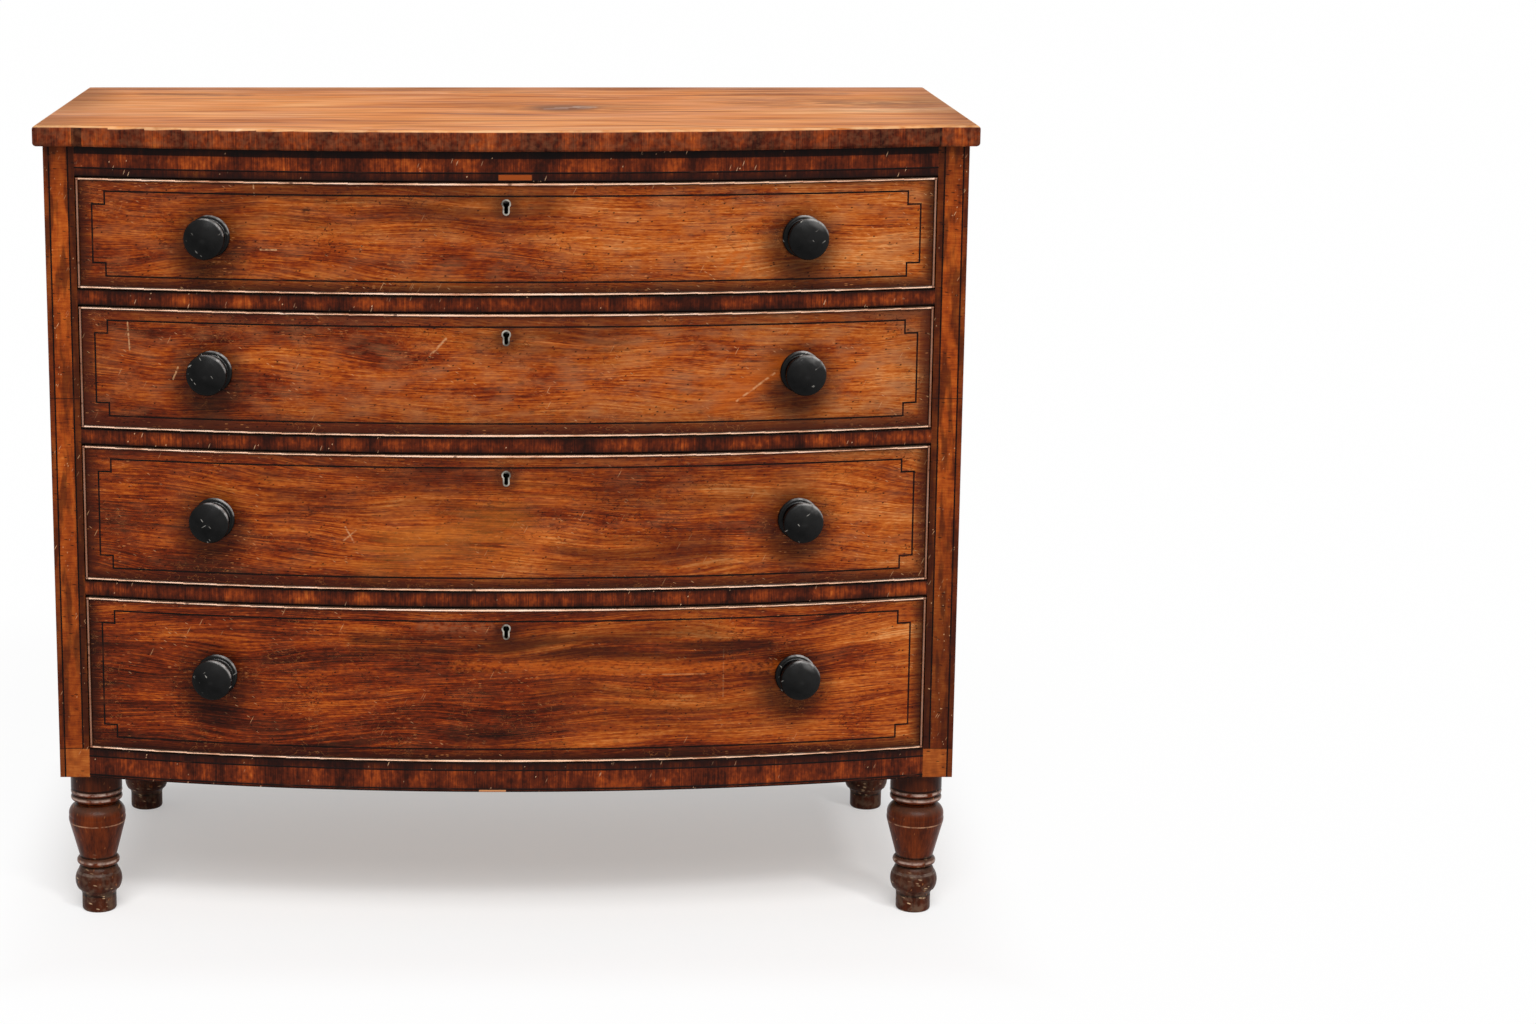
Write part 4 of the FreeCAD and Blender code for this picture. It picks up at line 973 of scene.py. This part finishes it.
def dress_frame():
    """Gives every piece of the frame its finish."""
    top_repairs_and_shadow, bottom_repairs = rail_repairs_and_shadow()
    stile = crossbanded_stile()
    side = arched_side()
    band = base_band()
    foot = turned_foot()
    long_pine = aged_pine("aged_pine_long", "XZY", 121, 0.50)
    deep_pine = aged_pine("aged_pine_deep", "YZX", 131, 0.56)
    flat_pine = aged_pine("aged_pine_flat", "XYZ", 141, 0.54)
    string = black_string()
    iron = dull_metal("filed_iron", "#8d8b88", "#4a4440", 0.4, 161)
    finishes = {
        "top": faded_top(),
        "bottom_rail": crossbanded_rail("bottom_rail", 0.505, bottom_repairs),
        "top_rail": crossbanded_rail("top_rail", 0.53, top_repairs_and_shadow),
        "bottom_board": flat_pine,
        "dust_boards": flat_pine,
        "runners": deep_pine,
        "guides": deep_pine,
        "drawer_stops": deep_pine,
        "back_boards": long_pine,
        "foot_blocks": deep_pine,
    }
    for hand in ("left", "right"):
        finishes[f"side_{hand}"] = side
        finishes[f"base_band_{hand}"] = band
        finishes[f"stile_{hand}"] = stile
        finishes[f"foot_front_{hand}"] = foot
        finishes[f"foot_back_{hand}"] = foot
    for number in DRAWERS[:-1]:
        finishes[f"drawer_rail_{number}"] = crossbanded_rail(f"drawer_rail_{number}")
    for number in DRAWERS:
        keyhole = keyhole_place(number)
        brass = dull_metal(f"dull_brass_{number}", "#b5a98c", "#6d5f48", 0.34, 151, keyhole)
        pieces = {
            "front": drawer_veneer(number),
            "cockbeads": rubbed_cockbead(number),
            "knobs": ebonised_knob(number),
            "stringing": string,
            "sides": deep_pine,
            "back": long_pine,
            "bottom": flat_pine,
            "lock": brass,
            "lock_bolt": iron,
        }
        for piece, finish in pieces.items():
            finishes[f"drawer_{number}_{piece}"] = finish
    for node, material in finishes.items():
        NODES[node].material_slots[0].material = material
    return string, iron


def bow_at(x):
    """Where the bowed face of the rails lies at a place across the chest."""
    return BOW_CENTRE - math.sqrt(BOW_RADIUS**2 - x**2)


def new_piece(name, mesh, body):
    piece = bpy.data.objects.new(name, mesh)
    bpy.context.scene.collection.objects.link(piece)
    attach(piece, body)
    return piece


def new_node_tree(name, sizes):
    """A geometry tree with a geometry input and output, and named inputs for its sizes."""
    tree = bpy.data.node_groups.new(name, "GeometryNodeTree")
    tree.interface.new_socket("Geometry", in_out="INPUT", socket_type="NodeSocketGeometry")
    tree.interface.new_socket("Geometry", in_out="OUTPUT", socket_type="NodeSocketGeometry")
    for size, kind in sizes.items():
        tree.interface.new_socket(size, in_out="INPUT", socket_type=kind)
    return tree


def end_tree(tree, geometry, material):
    """Ends a geometry tree with a whole mesh in one finish."""
    whole = add(tree, "GeometryNodeRealizeInstances", {"Geometry": geometry})
    finished = add(tree, "GeometryNodeSetMaterial", {"Geometry": whole, "Material": material})
    add(tree, "NodeGroupOutput", {"Geometry": finished})
    return tree


def grown(name, tree, seed_mesh, values):
    """The plain mesh that a geometry tree makes from a mesh of points or edges."""
    holder = bpy.data.objects.new(name + "_path", seed_mesh)
    bpy.context.scene.collection.objects.link(holder)
    modifier = holder.modifiers.new("grow", "NODES")
    modifier.node_group = tree
    for item in tree.interface.items_tree:
        if item.in_out == "INPUT" and item.name in values:
            modifier[item.identifier] = values[item.name]
    graph = bpy.context.evaluated_depsgraph_get()
    mesh = bpy.data.meshes.new_from_object(holder.evaluated_get(graph))
    mesh.name = name
    bpy.data.objects.remove(holder)
    return mesh


def inlay_tree(material):
    """A square string of wood along every path that it is given."""
    tree = new_node_tree("inlay_along_path", {"Width": "NodeSocketFloat"})
    given = add(tree, "NodeGroupInput").node.outputs
    path = add(tree, "GeometryNodeMeshToCurve", {"Mesh": given["Geometry"]})
    square = {"Width": given["Width"], "Height": given["Width"]}
    section = add(tree, "GeometryNodeCurvePrimitiveQuadrilateral", square)
    inputs = {"Curve": path, "Profile Curve": section, "Fill Caps": True}
    string = add(tree, "GeometryNodeCurveToMesh", inputs)
    return end_tree(tree, string, material)


def paths_mesh(name, paths):
    """A mesh of bare edges along some paths of points."""
    mesh = bpy.data.meshes.new(name)
    points, edges = [], []
    for path in paths:
        start = len(points)
        points += path
        edges += [(i, i + 1) for i in range(start, len(points) - 1)]
    mesh.from_pydata(points, edges, [])
    return mesh


def case_inlay(string):
    """Black lines up the stiles and along the top and bottom rails."""
    sunk = (LINE_WIDTH / 2 - LINE_PROUD) * MM
    outer = CASE_HALF - STILE_OUTER_LINE * MM
    inner = OPENING_HALF + STILE_INNER_LINE * MM
    paths = []
    for side in (-1, 1):
        for x, foot in ((side * outer, CASE_BOTTOM), (side * inner, LOWEST_OPENING)):
            paths.append([(x, CASE_FRONT + sunk, foot), (x, CASE_FRONT + sunk, CASE_TOP)])
    levels = [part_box("top_rail")[0].z + TOP_RAIL_LINE * MM]
    levels += [CASE_BOTTOM + level * MM for level in BOTTOM_RAIL_LINES]
    places = [OPENING_HALF * (2 * i / BOW_STEPS - 1) for i in range(BOW_STEPS + 1)]
    for level in levels:
        paths.append([(x, bow_at(x) + sunk, level) for x in places])
    path = paths_mesh("inlay_paths", paths)
    mesh = grown("case_inlay", inlay_tree(string), path, {"Width": LINE_WIDTH * MM})
    new_piece("case_inlay", mesh, "case")


def slot_block(radius, dome, slot):
    """The corners and faces of the block that cuts a screw's slot."""
    x, y, z = radius * MM * 1.2, dome * MM * 0.45, slot * MM / 2
    corners = [(sx * x, sy, sz * z) for sx in (-1, 1) for sy in (-2 * dome * MM, -y) for sz in (-1, 1)]
    faces = [(0, 1, 3, 2), (4, 6, 7, 5), (0, 4, 5, 1), (2, 3, 7, 6), (0, 2, 6, 4), (1, 5, 7, 3)]
    return corners, [], faces


def fixing_head(name, radius, dome, slot):
    """A round domed head that faces -Y, slotted where a screw's is."""
    shape = bmesh.new()
    bmesh.ops.create_uvsphere(shape, u_segments=20, v_segments=10, radius=radius * MM)
    for vertex in shape.verts:
        vertex.co.z *= dome / radius
    whole = shape.verts[:] + shape.edges[:] + shape.faces[:]
    plane = {"plane_co": (0, 0, 0), "plane_no": (0, 0, -1)}
    bmesh.ops.bisect_plane(shape, geom=whole, clear_outer=True, **plane)
    bmesh.ops.holes_fill(shape, edges=shape.edges[:])
    for vertex in shape.verts:
        vertex.co = Vector((vertex.co.x, -vertex.co.z, vertex.co.y))
    mesh = bpy.data.meshes.new(name)
    shape.to_mesh(mesh)
    shape.free()
    head = bpy.data.objects.new(name, mesh)
    if slot:
        groove = bpy.data.meshes.new(name + "_slot")
        groove.from_pydata(*slot_block(radius, dome, slot))
        cutter = bpy.data.objects.new(name + "_slot", groove)
        bpy.context.scene.collection.objects.link(cutter)
        bpy.context.scene.collection.objects.link(head)
        cut = head.modifiers.new("slot", "BOOLEAN")
        cut.object = cutter
        cut.solver = "EXACT"
        graph = bpy.context.evaluated_depsgraph_get()
        head.data = bpy.data.meshes.new_from_object(head.evaluated_get(graph))
        head.modifiers.clear()
        bpy.data.objects.remove(cutter)
        bpy.context.scene.collection.objects.unlink(head)
    return head


def fixings_tree(name, material):
    """A head on every point, each turned about its own shank and facing one way."""
    sizes = {"Head": "NodeSocketObject", "Turns": "NodeSocketInt", "Facing": "NodeSocketFloat"}
    tree = new_node_tree(name, sizes)
    given = add(tree, "NodeGroupInput").node.outputs
    points = add(tree, "GeometryNodeMeshToPoints", {"Mesh": given["Geometry"]})
    inputs = {"Object": given["Head"], "As Instance": True}
    head = add(tree, "GeometryNodeObjectInfo", inputs, out="Geometry")
    least = add(tree, "CombineXYZ", {"Y": -math.pi, "Z": given["Facing"]})
    most = add(tree, "CombineXYZ", {"Y": math.pi, "Z": given["Facing"]})
    limits = {"Min": least, "Max": most, "Seed": given["Turns"]}
    turn = add(tree, "FunctionNodeRandomValue", limits, data_type="FLOAT_VECTOR")
    inputs = {"Points": points, "Instance": head, "Rotation": turn}
    placed = add(tree, "GeometryNodeInstanceOnPoints", inputs)
    return end_tree(tree, placed, material)


def fix(name, body, tree, head, places, turns):
    """Heads that face the back, on some places of one body, as one piece."""
    mesh = bpy.data.meshes.new(name + "_places")
    mesh.from_pydata(places, [], [])
    values = {"Head": head, "Turns": turns, "Facing": math.pi}
    new_piece(name, grown(name, tree, mesh, values), body)


def fixings(iron):
    """Nails through the ends of the back boards, and screws in the lock plates."""
    low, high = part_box("back_boards")
    rows = BACK_BOARDS * NAILS_PER_END
    levels = [low.z + (high.z - low.z) * (i + 0.5) / rows for i in range(rows)]
    end = high.x - NAIL_EDGE * MM
    nail = fixing_head("nail_head", NAIL_RADIUS, NAIL_DOME, 0)
    nail_tree = fixings_tree("nails_on_places", iron)
    fix("back_nails", "case", nail_tree, nail, [(x, high.y, z) for x in (-end, end) for z in levels], 3)
    screw = fixing_head("screw_head", SCREW_RADIUS, SCREW_DOME, SCREW_SLOT)
    screw_tree = fixings_tree("screws_on_places", iron)
    for number in DRAWERS:
        low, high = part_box(f"drawer_{number}_lock")
        end = high.x - SCREW_EDGE * MM
        levels = (low.z + SCREW_EDGE * MM, high.z - 2 * SCREW_EDGE * MM)
        places = [(x, high.y, z) for x in (-end, end) for z in levels]
        fix(f"drawer_{number}_lock_screws", f"drawer_{number}", screw_tree, screw, places, number)
    bpy.data.objects.remove(nail)
    bpy.data.objects.remove(screw)


# Share of the floor that is plain white to the eye: under the chest, and away from it. The shadow fades
# between two distances from the rim of its place, which reaches behind and before the chest, all in
# millimetres. The floor's own half width is in metres.
FLOOR_GLOW = 0.36
FLOOR_GLOW_FAR = 0.92
SHADOW_REACH = (40.0, -110.0)
SHADOW_BEHIND = 55.0
SHADOW_BEFORE = 110.0
FLOOR_HALF = 30.0

# Light from all round, and two soft lights: where each shines from, its strength and its spread in degrees
ROOM_LIGHT = 0.32
KEY_LIGHT = ((0.0, -1.0, 1.15), 2.15, 34)
ACCENT_LIGHT = ((0.6, -1.0, 1.1), 0.8, 9)


def seen_by_eye(tree):
    """What reaches the eye straight, by a mirror or through glass."""
    seen = add(tree, "LightPath").node.outputs
    direct = add(tree, "Math", (seen["Is Camera Ray"], seen["Is Glossy Ray"]), operation="MAXIMUM")
    return add(tree, "Math", (direct, seen["Is Transmission Ray"]), operation="MAXIMUM")


def backdrop():
    """A pale floor that stays white to the eye and keeps the chest's shadow."""
    material, tree = new_material("pale_studio_floor")
    matt = add(tree, "BsdfDiffuse", {"Color": linear("#fafafa")})
    white = add(tree, "Emission", {"Color": linear("#ffffff"), "Strength": 1.0})
    before = BOW_CROWN / MM - SHADOW_BEFORE
    behind = TOP_BACK / MM + SHADOW_BEHIND
    middle = (0, (before + behind) / 2)
    half = (TOP_HALF / MM, (behind - before) / 2)
    inside = edge_distance(tree, grain_place(tree, "XYZ"), middle, half)
    glow = add(tree, "MapRange", (inside, *SHADOW_REACH, FLOOR_GLOW, FLOOR_GLOW_FAR), **SOFT)
    lift = add(tree, "Math", (seen_by_eye(tree), glow), operation="MULTIPLY")
    mixed = add(tree, "MixShader", (lift, matt, white))
    add(tree, "OutputMaterial", {"Surface": mixed})
    mesh = bpy.data.meshes.new("floor")
    corners = [(x * FLOOR_HALF, y * FLOOR_HALF, 0) for x, y in ((-1, -1), (1, -1), (1, 1), (-1, 1))]
    mesh.from_pydata(corners, [], [(0, 1, 2, 3)])
    mesh.materials.append(material)
    floor = bpy.data.objects.new("floor", mesh)
    bpy.context.scene.collection.objects.link(floor)


def studio_world():
    """Even soft light from all round, with white behind what the camera sees."""
    world = bpy.data.worlds.new("studio")
    bpy.context.scene.world = world
    world.use_nodes = True
    tree = world.node_tree
    tree.nodes.clear()
    strength = add(tree, "MapRange", (seen_by_eye(tree), 0.0, 1.0, ROOM_LIGHT, 1.0))
    light = add(tree, "Background", {"Color": linear("#ffffff"), "Strength": strength})
    add(tree, "OutputWorld", {"Surface": light})


def soft_sun(name, toward, strength, spread):
    """A broad soft light that shines from a direction."""
    lamp = bpy.data.lights.new(name, "SUN")
    lamp.energy = strength
    lamp.angle = math.radians(spread)
    holder = bpy.data.objects.new(name, lamp)
    holder.rotation_mode = "QUATERNION"
    holder.rotation_quaternion = Vector(toward).to_track_quat("Z", "Y")
    bpy.context.scene.collection.objects.link(holder)


def camera():
    """The photograph's view: square to the front, from a little above the top."""
    lens = bpy.data.cameras.new("camera")
    lens.sensor_width = SENSOR_WIDTH
    lens.lens = SENSOR_WIDTH * FOCAL_PIXELS / FRAME_WIDTH
    lens.shift_x = (FRAME_WIDTH / 2 - AXIS_COLUMN) / FRAME_WIDTH
    lens.shift_y = (AXIS_ROW - FRAME_HEIGHT / 2) / FRAME_WIDTH
    holder = bpy.data.objects.new("camera", lens)
    holder.location = CAMERA_PLACE
    holder.rotation_euler = (math.pi / 2 - CAMERA_DIP, 0, 0)
    bpy.context.scene.collection.objects.link(holder)
    bpy.context.scene.camera = holder


string_finish, iron_finish = dress_frame()
case_inlay(string_finish)
fixings(iron_finish)
backdrop()
studio_world()
soft_sun("key", *KEY_LIGHT)
soft_sun("accent", *ACCENT_LIGHT)
camera()
bpy.context.scene.view_settings.view_transform = "Standard"
